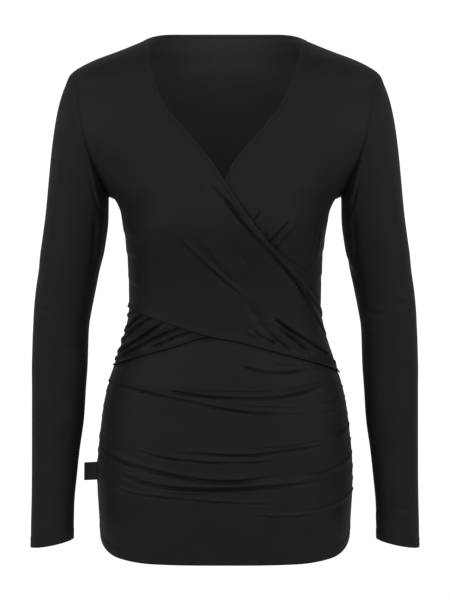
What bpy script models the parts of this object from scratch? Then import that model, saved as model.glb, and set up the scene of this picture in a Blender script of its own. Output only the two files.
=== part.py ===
# A long-sleeved wrap top in fine jersey, filled out as it hangs from the shoulders of a wearer.
# Two front panels cross over a ruched lower front. Every piece of cloth is a thin closed wall.
#
# Sizes are in millimetres and angles in degrees until the meshes are made, in metres.
# The front faces -Y, angle 0 is the middle of the front and +90 is the seam on the +X side.
# Height 0 is level with the middle of the shoulder seams.

import bmesh
import bpy
import numpy as np

MM = 0.001

# Cloth
WALL = 1.5
SEAM_GAP = 0.3
LAYER_GAP = 1.4
LAYER = WALL + LAYER_GAP
LAYER_RAMP = 16.0
LAYER_MARGIN = 20.0
TOP_TUCK = 1.5
TOP_TUCK_FROM = -362.0
BINDING_WIDTH = 4.5
BINDING_PROUD = 0.5
BINDING_DEPTH = 2.1
BINDING_ROUNDING = 0.16
SHARP_ANGLE = np.radians(40)

# Heights of the garment's landmarks
NECK_POINT = 15.6
SHOULDER_TIP = -27.0
UNDERARM = -192.0
LOWER_FRONT_TOP = -335.0
FIRST_SWAG_SPACE = 15.0
SEAM_PLANE_Y = 5.0

# Fullness of the bust, worked into the two fronts by their cut
BUST_FULLNESS = 12.0
BUST_X = 78.0
BUST_HEIGHT = -222.0
BUST_WIDTH = 48.0
BUST_TALL = 52.0
SQUARENESS = 0.25

# Horizontal sections: height, half width, depth in front, depth behind
SECTIONS = np.array([
    (-700, 159.0, 106.0, 108.0),
    (-667, 161.0, 108.0, 112.0),
    (-600, 165.0, 111.0, 118.0),
    (-560, 167.0, 112.0, 122.0),
    (-530, 166.4, 112.0, 122.0),
    (-490, 162.5, 110.0, 117.0),
    (-460, 158.5, 107.0, 108.0),
    (-430, 152.0, 104.0, 98.0),
    (-400, 142.4, 99.0, 87.0),
    (-375, 134.0, 95.0, 79.0),
    (-350, 127.5, 92.0, 74.0),
    (-325, 125.0, 92.0, 72.0),
    (-300, 125.4, 94.0, 75.0),
    (-270, 126.8, 101.0, 81.0),
    (-245, 129.4, 110.0, 87.0),
    (-220, 133.5, 115.0, 92.0),
    (-205, 136.5, 114.5, 94.0),
    (-190, 144.5, 113.0, 96.0),
    (-173, 163.0, 110.0, 97.5),
    (-151, 184.0, 106.0, 99.0),
    (-127, 207.0, 101.0, 100.0),
    (-101, 221.0, 95.0, 99.0),
    (-75, 220.0, 89.0, 95.0),
    (-52, 209.0, 82.0, 88.0),
    (-26, 195.0, 72.0, 78.0),
    (-12, 169.0, 66.0, 73.0),
    (0, 137.0, 58.0, 67.0),
    (8, 117.0, 53.0, 63.5),
    (15.6, 100.0, 48.0, 60.0),
    (22, 92.0, 44.0, 57.0),
    (40, 80.0, 38.0, 52.0),
])

# Armhole from the shoulder tip to the underarm: height, angle from the front, angle from the back
ARMHOLE = np.array([
    (SHOULDER_TIP, 90.0, 90.0),
    (-34, 79.0, 80.0),
    (-47, 65.5, 68.0),
    (-64, 59.0, 63.0),
    (-83, 55.5, 60.0),
    (-102, 54.0, 58.5),
    (-121, 55.5, 60.0),
    (-141, 60.5, 64.0),
    (-160, 67.5, 70.5),
    (-178, 77.5, 79.0),
    (UNDERARM, 90.0, 90.0),
])

# Neckline of the outer wrap, from the neck point on -X to the seam on +X: angle, height
OUTER_NECKLINE = np.array([
    (-90, NECK_POINT),
    (-68, 12.0),
    (-48, 0.0),
    (-33.7, -16.0),
    (-26.4, -39.0),
    (-20.5, -65.0),
    (-14.8, -92.0),
    (-8.7, -126.0),
    (-1.2, -162.0),
    (6.0, -189.0),
    (13.4, -212.0),
    (25.0, -242.0),
    (40.0, -270.0),
    (55.0, -298.0),
    (70.0, -319.0),
    (90.0, -338.0),
])

# Neckline of the under wrap, from the neck point on +X to the seam on -X: angle, height
UNDER_NECKLINE = np.array([
    (90, NECK_POINT),
    (68, 12.0),
    (48, 0.0),
    (33.0, -16.0),
    (26.0, -39.0),
    (22.8, -58.0),
    (19.0, -74.0),
    (14.8, -92.0),
    (10.0, -113.0),
    (5.4, -134.0),
    (-0.4, -164.0),
    (-13.4, -208.0),
    (-25.0, -238.0),
    (-40.0, -266.0),
    (-63.0, -299.0),
    (-90.0, -322.0),
])

# Lower edges of the two wraps, from -X to +X: angle, height
OUTER_HEM = np.array([
    (-90, -329.5),
    (-77, -331.4),
    (-50, -338.4),
    (-26.5, -351.0),
    (-10.7, -361.4),
    (8.0, -369.5),
    (30.6, -384.0),
    (58.5, -400.6),
    (90.0, -418.0),
])
UNDER_HEM = np.array([
    (-90, -408.0),
    (-77.6, -404.0),
    (-51.0, -389.5),
    (-28.0, -375.0),
    (-10.6, -362.0),
    (10.0, -352.0),
    (37.0, -349.0),
    (77.0, -353.0),
    (90.0, -354.0),
])

# Bottom hem: angle from the front or from the back, height of the front, height of the back
BOTTOM_HEM = np.array([
    (0, -652.5, -656.0),
    (36, -653.0, -655.0),
    (52, -651.0, -652.5),
    (62, -648.5, -649.5),
    (73, -642.0, -642.0),
    (82, -634.0, -634.0),
    (90, -626.0, -626.0),
])

# Back neck: angle from the back, height
BACK_NECK = np.array([
    (90, NECK_POINT),
    (75, 19.5),
    (60, 22.0),
    (30, 23.2),
    (0, 23.4),
])

# Swags of the ruched lower front: heights and depths at five angles, and half the fold's width
SWAG_ANGLES = np.array([-90.0, -45.0, 0.0, 45.0, 90.0])
SWAGS = [
    {"heights": (-411, -404, -400, -406, -409), "depths": (0.0, 0.0, 1.2, 1.4, 0.0), "half_width": 4.0},
    {"heights": (-417, -415, -430, -420, -413), "depths": (0.0, 0.5, 1.5, 0.0, 0.0), "half_width": 4.0},
    {"heights": (-423, -425, -437, -430, -418), "depths": (0.0, 0.5, 2.2, 2.6, 1.5), "half_width": 4.0},
    {"heights": (-430, -432, -452, -461, -446), "depths": (1.5, 2.6, 2.6, 2.0, 1.5), "half_width": 4.5},
    {"heights": (-478, -499, -509, -504, -479), "depths": (0.5, 0.5, 1.6, 2.0, 2.0), "half_width": 4.0},
    {"heights": (-488, -508, -521, -513, -489), "depths": (0.8, 2.0, 2.2, 0.8, 0.8), "half_width": 4.5},
    {"heights": (-499, -525, -544, -532, -501), "depths": (2.0, 2.0, 2.0, 0.5, 1.5), "half_width": 4.0},
    {"heights": (-513, -537, -553, -546, -517), "depths": (1.5, 2.2, 3.4, 3.2, 2.2), "half_width": 4.5},
    {"heights": (-548, -562, -570, -571, -532), "depths": (1.0, 2.0, 2.2, 1.4, 2.0), "half_width": 4.5},
    {"heights": (-580, -588, -589, -590, -543), "depths": (0.0, 0.0, 0.6, 2.2, 2.4), "half_width": 5.0},
]
SWAG_LIP = 0.4
SWAG_LIP_AT = 1.9
ROOM_FOR_TWO_LIPS = 0.3
EXTRA_ROW_SPACES = (26.0, 45.0)

# Ridges of the outer wrap: from angle and height, to angle and height, half width, lift.
# Each rises over the first share of its run and dies away past its end.
RIDGE_RISE = 0.3
RIDGE_OVERRUN = 0.15
RIDGE_FALL = 0.2
OUTER_RIDGES = np.array([
    (2, -186, 88, -352, 6.0, 1.8),
    (-26, -196, 20, -306, 9.0, 1.2),
    (-22, -250, 12, -330, 8.0, 1.0),
    (16, -314, 88, -384, 6.0, 2.6),
    (22, -334, 90, -398, 5.0, 2.4),
    (24, -352, 74, -398, 5.0, 2.0),
])

# Gathers of the under wrap at its seam on -X, one to every two rows of its mesh there
GATHER_LIFT = 2.4
GATHER_REACH = 62.0
GATHER_ROOT = 14.0
GATHER_AT_SEAM = 0.3

# Rows of the wraps bow upward beside the far seam: how far, and where along the row they peak
ROW_BOW = 9.0
BOW_PEAK = 0.25

# Sleeve below the cap: height, centre out from the middle, centre forward or back, half width,
# half depth, rise of the inner edge
SLEEVE = np.array([
    (-231, 193.7, 1.0, 41.6, 48.0, 0.0),
    (-257, 197.6, 0.5, 41.6, 46.5, 0.0),
    (-283, 202.2, 0.0, 39.7, 44.5, 0.0),
    (-309, 206.7, -1.0, 39.0, 42.5, 0.0),
    (-335, 210.6, -2.0, 37.7, 41.0, 0.0),
    (-361, 213.2, -3.5, 36.4, 39.5, 0.0),
    (-400, 214.5, -6.0, 36.4, 38.0, 0.0),
    (-439, 215.8, -9.0, 35.1, 36.5, 0.0),
    (-478, 217.1, -12.0, 33.8, 35.0, 0.0),
    (-517, 219.7, -15.0, 31.2, 33.0, 2.0),
    (-556, 221.7, -18.5, 29.3, 31.5, 5.0),
    (-595, 223.6, -22.0, 28.0, 30.5, 8.0),
    (-641, 224.3, -26.0, 28.0, 30.0, 11.0),
])
CAP_ROWS = 8
CAP_ACROSS = 0.6
CAP_OUTWARD = 0.0
UNDERARM_CLEARANCE = 0.7
CAP_START_PULL = 0.22
CAP_END_PULL = 0.30
ARM_DIRECTION = np.array([0.16, 0.0, -0.99])

# Side label: lowest and highest point, how far it stands out, half thickness
LABEL_HEIGHTS = (-558.0, -535.0)
LABEL_REACH = 17.5
LABEL_HALF_THICKNESS = 0.7
LABEL_SWING = 1.5

# Rows and columns of the meshes
NECK_CLOSENESS = 1.1
OUTER_COLUMNS = 24
UNDER_COLUMNS = 22
LOWER_COLUMNS = 26
BACK_COLUMNS = 22
OUTER_SEAM_ROWS = 24
OUTER_FAR_ROWS = 10
UNDER_SEAM_ROWS = 24
UNDER_FAR_ROWS = 14
BACK_SEAM_ROWS = 14
NECK_SHAPED_ROWS = 7

JERSEY_BLACK = (0.014, 0.014, 0.015, 1.0)
BINDING_BLACK = (0.017, 0.017, 0.018, 1.0)
LABEL_BLACK = (0.010, 0.010, 0.011, 1.0)


def clear_scene():
    for thing in list(bpy.data.objects):
        bpy.data.objects.remove(thing, do_unlink=True)


def make_material(name, colour, roughness):
    material = bpy.data.materials.new(name)
    material.use_nodes = True
    shader = material.node_tree.nodes["Principled BSDF"]
    shader.inputs["Base Color"].default_value = colour
    shader.inputs["Roughness"].default_value = roughness
    shader.inputs["Metallic"].default_value = 0.0
    material.diffuse_color = colour
    return material


# Curves and blends

def ease(value):
    share = np.clip(value, 0.0, 1.0)
    return share * share * (3 - 2 * share)


def flow(knots, values, at):
    """A smooth curve through the values that never swings past them."""
    knots = np.asarray(knots, float)
    values = np.asarray(values, float)
    step = np.diff(knots)
    slope = np.diff(values) / step
    tangent = np.empty(len(values))
    tangent[0] = slope[0]
    tangent[-1] = slope[-1]
    same_way = slope[:-1] * slope[1:] > 0
    weight = slope[:-1] * step[1:] + slope[1:] * step[:-1]
    tangent[1:-1] = np.where(same_way, weight / (step[:-1] + step[1:]), 0)
    cell = np.clip(np.searchsorted(knots, at, side="right") - 1, 0, len(step) - 1)
    share = (at - knots[cell]) / step[cell]
    rest = 1 - share
    return ((1 + 2 * share) * rest ** 2 * values[cell]
            + share * rest ** 2 * step[cell] * tangent[cell]
            + share ** 2 * (3 - 2 * share) * values[cell + 1]
            - share ** 2 * rest * step[cell] * tangent[cell + 1])


def run_along(outline, shares):
    """Points at the given shares of an outline's length over the body."""
    fine = np.linspace(0, 1, 400)
    marks = np.linspace(0, 1, len(outline))
    route = np.stack([flow(marks, outline[:, k], fine) for k in (0, 1)], -1)
    places = body(route[:, 0], route[:, 1])
    steps = np.linalg.norm(np.diff(places, axis=0), axis=1)
    length = np.concatenate([[0], np.cumsum(steps)])
    at = np.interp(shares, length / length[-1], fine)
    return np.stack([flow(marks, outline[:, k], at) for k in (0, 1)], -1)


def height_on(outline, angle):
    """Height of an edge that runs round the body, at an angle."""
    order = np.argsort(outline[:, 0])
    return flow(outline[order, 0], outline[order, 1], np.clip(angle, -90, 90))


# The filled-out form that all the panels are cut for

def body(angle, height):
    turn = np.radians(angle)
    side = np.sin(turn)
    toward_front = np.cos(turn)
    half_width, front, behind = (flow(SECTIONS[:, 0], SECTIONS[:, k], height) for k in (1, 2, 3))
    x = half_width * side
    depth = np.where(toward_front > 0, -front, behind) * np.abs(toward_front)
    depth = depth * (1 + SQUARENESS * side ** 2)
    tall = np.exp(-((height - BUST_HEIGHT) / BUST_TALL) ** 2)
    wide = np.exp(-((x - BUST_X) / BUST_WIDTH) ** 2) + np.exp(-((x + BUST_X) / BUST_WIDTH) ** 2)
    bust = BUST_FULLNESS * tall * wide * np.clip(toward_front, 0, 1)
    return np.stack([x, SEAM_PLANE_Y + depth - bust, height + 0 * x], -1)


def slopes(angle, height):
    """How the form's surface moves for one degree round and one millimetre up."""
    nudge = 0.05
    round_it = (body(angle + nudge, height) - body(angle - nudge, height)) / (2 * nudge)
    up_it = (body(angle, height + nudge) - body(angle, height - nudge)) / (2 * nudge)
    return round_it, up_it


def unit(vectors):
    return vectors / np.linalg.norm(vectors, axis=-1, keepdims=True)


def outward(angle, height):
    round_it, up_it = slopes(angle, height)
    return unit(np.cross(round_it, up_it))


def placed(spots, lift):
    """Points over the form at (angle, height) spots, lifted along its normal."""
    angle = spots[..., 0]
    height = spots[..., 1]
    return body(angle, height) + outward(angle, height) * np.asarray(lift)[..., None]


def shift_into(spots, along, distance):
    """Spots moved over the form by a distance, to the left of the way that they run."""
    round_it, up_it = slopes(spots[:, 0], spots[:, 1])
    normal = unit(np.cross(round_it, up_it))
    tangent = unit(np.gradient(body(spots[:, 0], spots[:, 1]), axis=0))
    across = np.cross(normal, tangent) * along
    moved = spots.copy()
    moved[:, 0] += distance * np.sum(across * round_it, -1) / np.sum(round_it ** 2, -1)
    moved[:, 1] += distance * np.sum(across * up_it, -1) / np.sum(up_it ** 2, -1)
    return moved


def run_to_seams(spots):
    """Spots whose first and last are carried on, or cut back, to the seams at 90 degrees."""
    carried = spots.copy()
    for end, inside in ((0, 1), (-1, -2)):
        seam = np.sign(spots[end, 0]) * 90.0
        share = (seam - spots[inside, 0]) / (spots[end, 0] - spots[inside, 0])
        carried[end] = spots[inside] + share * (spots[end] - spots[inside])
    return carried


def inset_from_seams(spots):
    """Spots on the side and shoulder seams, drawn back by half the seam gap."""
    depth = flow(SECTIONS[:, 0], SECTIONS[:, 2], spots[..., 1]) * (1 + SQUARENESS)
    margin = np.degrees(SEAM_GAP / 2 / depth)
    drawn = spots.copy()
    drawn[..., 0] = np.clip(spots[..., 0], -90 + margin, 90 - margin)
    return drawn


def inset_back_from_seams(spots):
    depth = flow(SECTIONS[:, 0], SECTIONS[:, 3], spots[..., 1]) * (1 + SQUARENESS)
    margin = np.degrees(SEAM_GAP / 2 / depth)
    drawn = spots.copy()
    drawn[..., 0] = np.clip(spots[..., 0], 90 + margin, 270 - margin)
    return drawn


# How the layers lie on each other

def ramp_in(distance):
    return ease((distance + LAYER_RAMP + LAYER_MARGIN) / LAYER_RAMP)


def under_outer_wrap(angle, height):
    """1 where the outer wrap covers a spot, falling to 0 beyond its edges."""
    above_hem = ramp_in(height - height_on(OUTER_HEM, angle))
    below_neckline = ramp_in(height_on(OUTER_NECKLINE, angle) - height)
    return above_hem * below_neckline


def under_both_wraps(angle, height):
    """Number of layers that cover the lower front at a spot."""
    by_outer = ramp_in(height - height_on(OUTER_HEM, angle))
    by_under = ramp_in(height - height_on(UNDER_HEM, angle))
    return by_outer + by_under


def ridge_lift(ridges, angle, height):
    """Soft ridges along straight runs, faded at both ends."""
    lift = np.zeros(np.broadcast(angle, height).shape)
    arc = np.pi / 180 * flow(SECTIONS[:, 0], SECTIONS[:, 1], height)
    for from_angle, from_height, to_angle, to_height, half_width, rise in ridges:
        run_x = (to_angle - from_angle) * arc
        run_z = to_height - from_height
        to_x = (angle - from_angle) * arc
        to_z = height - from_height
        length = np.hypot(run_x, run_z)
        share = (to_x * run_x + to_z * run_z) / length ** 2
        off_line = (to_x * run_z - to_z * run_x) / length
        fade = ease(share / RIDGE_RISE) * ease((1 + RIDGE_OVERRUN - share) / RIDGE_FALL)
        lift += rise * np.exp(-(off_line / half_width) ** 2) * fade
    return lift


def swag_lift(angle, height):
    """Troughs of the ruched lower front, each with a soft lip above it."""
    lift = np.zeros(np.broadcast(angle, height).shape)
    for swag in SWAGS:
        middle = flow(SWAG_ANGLES, swag["heights"], angle)
        depth = flow(SWAG_ANGLES, swag["depths"], angle)
        off = (height - middle) / swag["half_width"]
        lift += depth * (SWAG_LIP * np.exp(-(off - SWAG_LIP_AT) ** 2) - np.exp(-off ** 2))
    return lift


# Solids from grids of points

def wall_object(name, outer, inner, material, tube=False):
    """A closed wall between two grids of points, open tubes having their columns joined round."""
    rows, columns = outer.shape[:2]
    mesh = bmesh.new()
    faces = []
    sheets = []
    for grid in (outer, inner):
        sheets.append([[mesh.verts.new(point * MM) for point in row] for row in grid])
    across = columns if tube else columns - 1
    for i in range(rows - 1):
        for j in range(across):
            k = (j + 1) % columns
            falling = np.linalg.norm(outer[i, j] - outer[i + 1, k])
            rising = np.linalg.norm(outer[i, k] - outer[i + 1, j])
            for sheet in sheets:
                a, b, c, d = sheet[i][j], sheet[i][k], sheet[i + 1][k], sheet[i + 1][j]
                faces.extend([(a, b, c), (a, c, d)] if falling < rising else [(a, b, d), (b, c, d)])
    top, under = sheets
    for i in (0, rows - 1):
        for j in range(across):
            k = (j + 1) % columns
            faces.append((top[i][j], top[i][k], under[i][k], under[i][j]))
    if not tube:
        for j in (0, columns - 1):
            for i in range(rows - 1):
                faces.append((top[i][j], top[i + 1][j], under[i + 1][j], under[i][j]))
    for corners in faces:
        mesh.faces.new(corners)
    bmesh.ops.recalc_face_normals(mesh, faces=mesh.faces)
    data = bpy.data.meshes.new(name)
    mesh.to_mesh(data)
    mesh.free()
    data.materials.append(material)
    data.shade_smooth()
    data.set_sharp_from_angle(angle=SHARP_ANGLE)
    thing = bpy.data.objects.new(name, data)
    bpy.context.scene.collection.objects.link(thing)
    return thing


def cloth_panel(name, spots, lift, material):
    outer = placed(spots, lift)
    inner = placed(spots, lift - WALL)
    return wall_object(name, outer, inner, material)


def binding_strip(name, edge, panel_edge, lift, material):
    """A folded tape along an edge: proud of the cloth on both faces, with a rounded fold."""
    outer_lift = lift + BINDING_PROUD
    inner_lift = outer_lift - BINDING_DEPTH
    rounding = edge + (panel_edge - edge) * BINDING_ROUNDING
    outside = [placed(panel_edge, outer_lift), placed(rounding, outer_lift)]
    fold = placed(edge, (outer_lift + inner_lift) / 2)
    inside = [placed(rounding, inner_lift), placed(panel_edge, inner_lift)]
    return section_object(name, np.stack(outside + [fold] + inside, 1), material)


def section_object(name, loops, material):
    """A closed bar through loops of points, with flat ends."""
    mesh = bmesh.new()
    rings = [[mesh.verts.new(point * MM) for point in loop] for loop in loops]
    count = len(rings[0])
    for first, second in zip(rings[:-1], rings[1:]):
        for j in range(count):
            k = (j + 1) % count
            mesh.faces.new((first[j], first[k], second[k], second[j]))
    mesh.faces.new(rings[0])
    mesh.faces.new(rings[-1])
    bmesh.ops.recalc_face_normals(mesh, faces=mesh.faces)
    data = bpy.data.meshes.new(name)
    mesh.to_mesh(data)
    mesh.free()
    data.materials.append(material)
    data.shade_smooth()
    data.set_sharp_from_angle(angle=SHARP_ANGLE)
    thing = bpy.data.objects.new(name, data)
    bpy.context.scene.collection.objects.link(thing)
    return thing


# The wraps: rows run from the panel's own armhole and side seam to its neckline and far seam

def own_side(sign, hem_height, seam_rows):
    """Armhole and side seam on the panel's own side, top to bottom."""
    armhole = np.stack([sign * ARMHOLE[:, 1], ARMHOLE[:, 0]], -1)
    seam_heights = np.linspace(UNDERARM, hem_height, seam_rows + 1)[1:]
    seam = np.stack([np.full(seam_rows, sign * 90.0), seam_heights], -1)
    return np.concatenate([armhole, seam])


def wrap_far_side(neckline, neckline_rows, far_rows, hem_height):
    """Neckline and far side seam, top to bottom, closer together near the neck point."""
    shares = np.linspace(0, 1, neckline_rows + 1) ** NECK_CLOSENESS
    edge = run_along(neckline, shares)
    seam_heights = np.linspace(edge[-1, 1], hem_height, far_rows + 1)[1:]
    seam = np.stack([np.full(far_rows, edge[-1, 0]), seam_heights], -1)
    return edge, seam


def wrap_spots(own, far, hem, columns, far_rows):
    """The panel's grid of spots, with its last row on the lower edge."""
    rows = len(own)
    across = np.linspace(0, 1, columns + 1)
    spots = own[:, None] + (far - own)[:, None] * across[None, :, None]
    from_far = (1 - across) / BOW_PEAK
    bow = ROW_BOW * from_far * np.exp(1 - from_far)
    seam_start = rows - 1 - far_rows
    down = np.arange(rows)
    bow_share = ease(down / seam_start) * np.clip((rows - 1 - down) / far_rows, 0, 1) ** 0.7
    spots[:, :, 1] += bow_share[:, None] * bow[None]
    hem_angles = spots[-1, :, 0]
    correction = height_on(hem, hem_angles) - spots[-1, :, 1]
    spots[:, :, 1] += (down / (rows - 1))[:, None] ** 3 * correction[None]
    return spots


def wrap_panel(name, sign, neckline, hem, seam_rows, far_rows, columns, lift_of, cloth, tape):
    neckline_rows = len(ARMHOLE) - 1 + seam_rows - far_rows
    edge, far_seam = wrap_far_side(neckline, neckline_rows, far_rows, hem_height_at(hem, -sign))
    panel_edge = run_to_seams(shift_into(edge, sign, BINDING_WIDTH))
    tape_edge = run_to_seams(shift_into(edge, sign, BINDING_WIDTH - SEAM_GAP))
    far_seam[:, 1] += (panel_edge[-1, 1] - edge[-1, 1]) * np.linspace(1, 0, far_rows + 1)[1:]
    own = own_side(sign, hem_height_at(hem, sign), seam_rows)
    own[:len(ARMHOLE)] = draw_in_armhole(own[:len(ARMHOLE)], sign)
    spots = wrap_spots(own, np.concatenate([panel_edge, far_seam]), hem, columns, far_rows)
    spots = inset_from_seams(spots)
    lift = lift_of(spots)
    cloth_panel(name, spots, lift, cloth)
    edge = inset_from_seams(edge)
    tape_edge = inset_from_seams(tape_edge)
    tape_lift = lift[:len(edge), -1]
    binding_strip(name + "_binding", edge, tape_edge, tape_lift, tape)


def hem_height_at(hem, sign):
    return height_on(hem, sign * 90.0)


def draw_in_armhole(armhole, sign):
    """The armhole's spots, drawn back from the seam by half the seam gap."""
    return shift_into(armhole, -sign, SEAM_GAP / 2)


def outer_lift(spots):
    return ridge_lift(OUTER_RIDGES, spots[..., 0], spots[..., 1])


def under_lift(spots):
    """The under wrap sinks beneath the outer one and is gathered at its far seam."""
    angle = spots[..., 0]
    height = spots[..., 1]
    covered = under_outer_wrap(angle, height)
    rows = np.arange(len(spots))
    first = len(spots) - 1 - UNDER_FAR_ROWS
    wave = 0.5 - 0.5 * np.cos(np.pi * (rows - first))
    wave[rows < first] = 0
    wave[-1] = 0
    from_seam = angle + 90
    freed = GATHER_AT_SEAM + (1 - GATHER_AT_SEAM) * ease(from_seam / GATHER_ROOT)
    near_seam = ease(1 - from_seam / GATHER_REACH) * freed
    gathers = GATHER_LIFT * wave[:, None] * near_seam * (1 - covered)
    return gathers - LAYER * covered


def make_wraps(cloth, tape):
    wrap_panel("outer_wrap", -1, OUTER_NECKLINE, OUTER_HEM, OUTER_SEAM_ROWS, OUTER_FAR_ROWS,
               OUTER_COLUMNS, outer_lift, cloth, tape)
    wrap_panel("under_wrap", 1, UNDER_NECKLINE, UNDER_HEM, UNDER_SEAM_ROWS, UNDER_FAR_ROWS,
               UNDER_COLUMNS, under_lift, cloth, tape)


# The lower front: rows follow the swags

def swag_rows(angles):
    """Heights of the lower front's rows at each angle, from its hidden top edge to its hem."""
    hem = flow(BOTTOM_HEM[:, 0], BOTTOM_HEM[:, 1], np.abs(angles))
    top = np.full(len(angles), LOWER_FRONT_TOP)
    troughs = [flow(SWAG_ANGLES, swag["heights"], angles) for swag in SWAGS]
    first = troughs[0] + FIRST_SWAG_SPACE
    rows = [top + (first - top) * share for share in (0, 1 / 3, 2 / 3, 1)]
    middle = len(angles) // 2
    for trough, swag, following in zip(troughs, SWAGS, troughs[1:] + [hem]):
        rows.append(trough)
        space = trough[middle] - following[middle]
        lip = swag["half_width"] * SWAG_LIP_AT / space
        if lip < ROOM_FOR_TWO_LIPS:
            between = sum(space > wide for wide in EXTRA_ROW_SPACES)
            shares = np.linspace(lip, 1 - lip, 2 + between)
        else:
            shares = [0.5]
        rows.extend(trough + (following - trough) * share for share in shares)
    rows.append(hem)
    return np.stack(rows)


def make_lower_front(cloth):
    angles = np.linspace(-90, 90, LOWER_COLUMNS + 1)
    heights = swag_rows(angles)
    spots = np.stack([np.broadcast_to(angles, heights.shape), heights], -1)
    spots = inset_from_seams(spots)
    angle = spots[..., 0]
    height = spots[..., 1]
    tuck = TOP_TUCK * ease((height - TOP_TUCK_FROM) / LAYER_RAMP)
    lift = swag_lift(angle, height) - LAYER * under_both_wraps(angle, height) - tuck
    cloth_panel("lower_front", spots, lift, cloth)


# The back: rows run from armhole to armhole and from seam to seam

def back_top_edge(columns):
    """Shoulder seam, back neck and shoulder seam, as angles from 90 to 270 and heights."""
    side_columns = columns // 4
    heights = np.linspace(SHOULDER_TIP, NECK_POINT, side_columns + 1)
    shoulder = np.stack([np.full(side_columns + 1, 90.0), heights], -1)
    neck_angles = np.linspace(90, 0, columns // 2 - side_columns + 1)[1:]
    neck = np.stack([180 - neck_angles, flow(BACK_NECK[::-1, 0], BACK_NECK[::-1, 1], neck_angles)], -1)
    half = np.concatenate([shoulder, neck])
    other = half[:-1][::-1].copy()
    other[:, 0] = 360 - other[:, 0]
    return np.concatenate([half, other]), side_columns


def make_back(cloth, tape):
    top, side_columns = back_top_edge(BACK_COLUMNS)
    neck = slice(side_columns, len(top) - side_columns)
    tape_edge = top.copy()
    panel_top = top.copy()
    panel_top[neck] = shift_into(top[neck], -1, BINDING_WIDTH)
    tape_edge[neck] = shift_into(top[neck], -1, BINDING_WIDTH - SEAM_GAP)
    across = np.linspace(0, 1, BACK_COLUMNS + 1)
    armhole = np.stack([180 - ARMHOLE[:, 2], ARMHOLE[:, 0]], -1)
    armhole = shift_into(armhole, 1, SEAM_GAP / 2)
    seam_heights = np.linspace(UNDERARM, BOTTOM_HEM[-1, 2], BACK_SEAM_ROWS + 1)[1:]
    seam = np.stack([np.full(BACK_SEAM_ROWS, 90.0), seam_heights], -1)
    left = np.concatenate([armhole, seam])
    rows = len(left)
    right = left.copy()
    right[:, 0] = 360 - left[:, 0]
    spots = left[:, None] + (right - left)[:, None] * across[None, :, None]
    top_share = (1 - ease(np.arange(rows) / NECK_SHAPED_ROWS))[:, None, None]
    spots += top_share * (panel_top - spots[0])[None]
    hem = flow(BOTTOM_HEM[:, 0], BOTTOM_HEM[:, 2], np.abs(spots[-1, :, 0] - 180))
    hem_share = (np.clip(np.arange(rows) - len(ARMHOLE), 0, None) / (rows - 1 - len(ARMHOLE))) ** 2
    spots[:, :, 1] += hem_share[:, None] * (hem - spots[-1, :, 1])[None]
    spots = inset_back_from_seams(spots)
    cloth_panel("back", spots, np.zeros(spots.shape[:2]), cloth)
    edge = inset_back_from_seams(top[neck])
    inner_edge = inset_back_from_seams(tape_edge[neck])
    binding_strip("back_neck_binding", edge, inner_edge, np.zeros(len(edge)), tape)


# The sleeves: a cap eased into the armhole, then rings down the arm

def armhole_loop():
    """Spots round the armhole on +X: tip, front, underarm, back."""
    front = np.stack([ARMHOLE[:, 1], ARMHOLE[:, 0]], -1)
    behind = np.stack([180 - ARMHOLE[1:-1, 2], ARMHOLE[1:-1, 0]], -1)[::-1]
    return np.concatenate([front, behind])


def sleeve_ring(row, turns):
    height, centre_out, centre_y, half_width, half_depth, rise = row
    out_share = np.cos(turns)
    x = centre_out + half_width * out_share
    y = centre_y - half_depth * np.sin(turns)
    z = height + rise * (1 - out_share) / 2
    return np.stack([x, y, z], -1)


def sleeve_surface():
    """Grid of the sleeve's outer points, from the armhole to the cuff."""
    loop = armhole_loop()
    columns = len(loop)
    turns = 2 * np.pi * np.arange(columns) / columns
    round_twice = np.concatenate([loop[-2:], loop, loop[:2]])
    clear_of_seam = shift_into(round_twice, 1, SEAM_GAP / 2)[2:-2]
    start = body(clear_of_seam[:, 0], clear_of_seam[:, 1])
    form_normal = outward(loop[:, 0], loop[:, 1])
    round_it, up_it = slopes(loop[:, 0], loop[:, 1])
    away = np.sin(turns)[:, None] * CAP_ACROSS * unit(round_it)
    along_form = unit(away - unit(up_it) + CAP_OUTWARD * np.array([1.0, 0.0, 0.0]))
    share = (np.cos(turns / 2) ** 2)[:, None]
    leaving = unit(share * along_form + (1 - share) * ARM_DIRECTION)
    start = start + form_normal * UNDERARM_CLEARANCE * (1 - share)
    end = sleeve_ring(SLEEVE[0], turns)
    arriving = unit(end - sleeve_ring(SLEEVE[1], turns))
    reach = np.linalg.norm(end - start, axis=1)[:, None]
    first_pull = start + leaving * reach * CAP_START_PULL
    last_pull = end + arriving * reach * CAP_END_PULL
    rows = []
    for share in np.linspace(0, 1, CAP_ROWS + 1):
        rest = 1 - share
        rows.append(rest ** 3 * start + 3 * rest ** 2 * share * first_pull
                    + 3 * rest * share ** 2 * last_pull + share ** 3 * end)
    rows.extend(sleeve_ring(row, turns) for row in SLEEVE[1:])
    return np.stack(rows), form_normal, turns


def grid_outward(grid):
    """Normals of a tube's grid of points, facing away from its middle."""
    down = np.gradient(grid, axis=0)
    around = (np.roll(grid, -1, axis=1) - np.roll(grid, 1, axis=1)) / 2
    normal = unit(np.cross(down, around))
    from_middle = grid - grid.mean(axis=1, keepdims=True)
    facing = np.sign(np.sum(normal[-1] * from_middle[-1], -1).mean())
    return normal * facing


def make_sleeves(cloth):
    outer, form_normal, turns = sleeve_surface()
    normal = grid_outward(outer)
    share = (np.cos(turns / 2) ** 2)[:, None]
    normal[0] = unit(share * form_normal + (1 - share) * normal[0])
    inner = outer - normal * WALL
    for name, sign in (("sleeve_left", 1), ("sleeve_right", -1)):
        mirror = np.array([sign, 1, 1])
        wall_object(name, outer * mirror, inner * mirror, cloth, tube=True)


# The folded label in the side seam on -X, left bare

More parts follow.
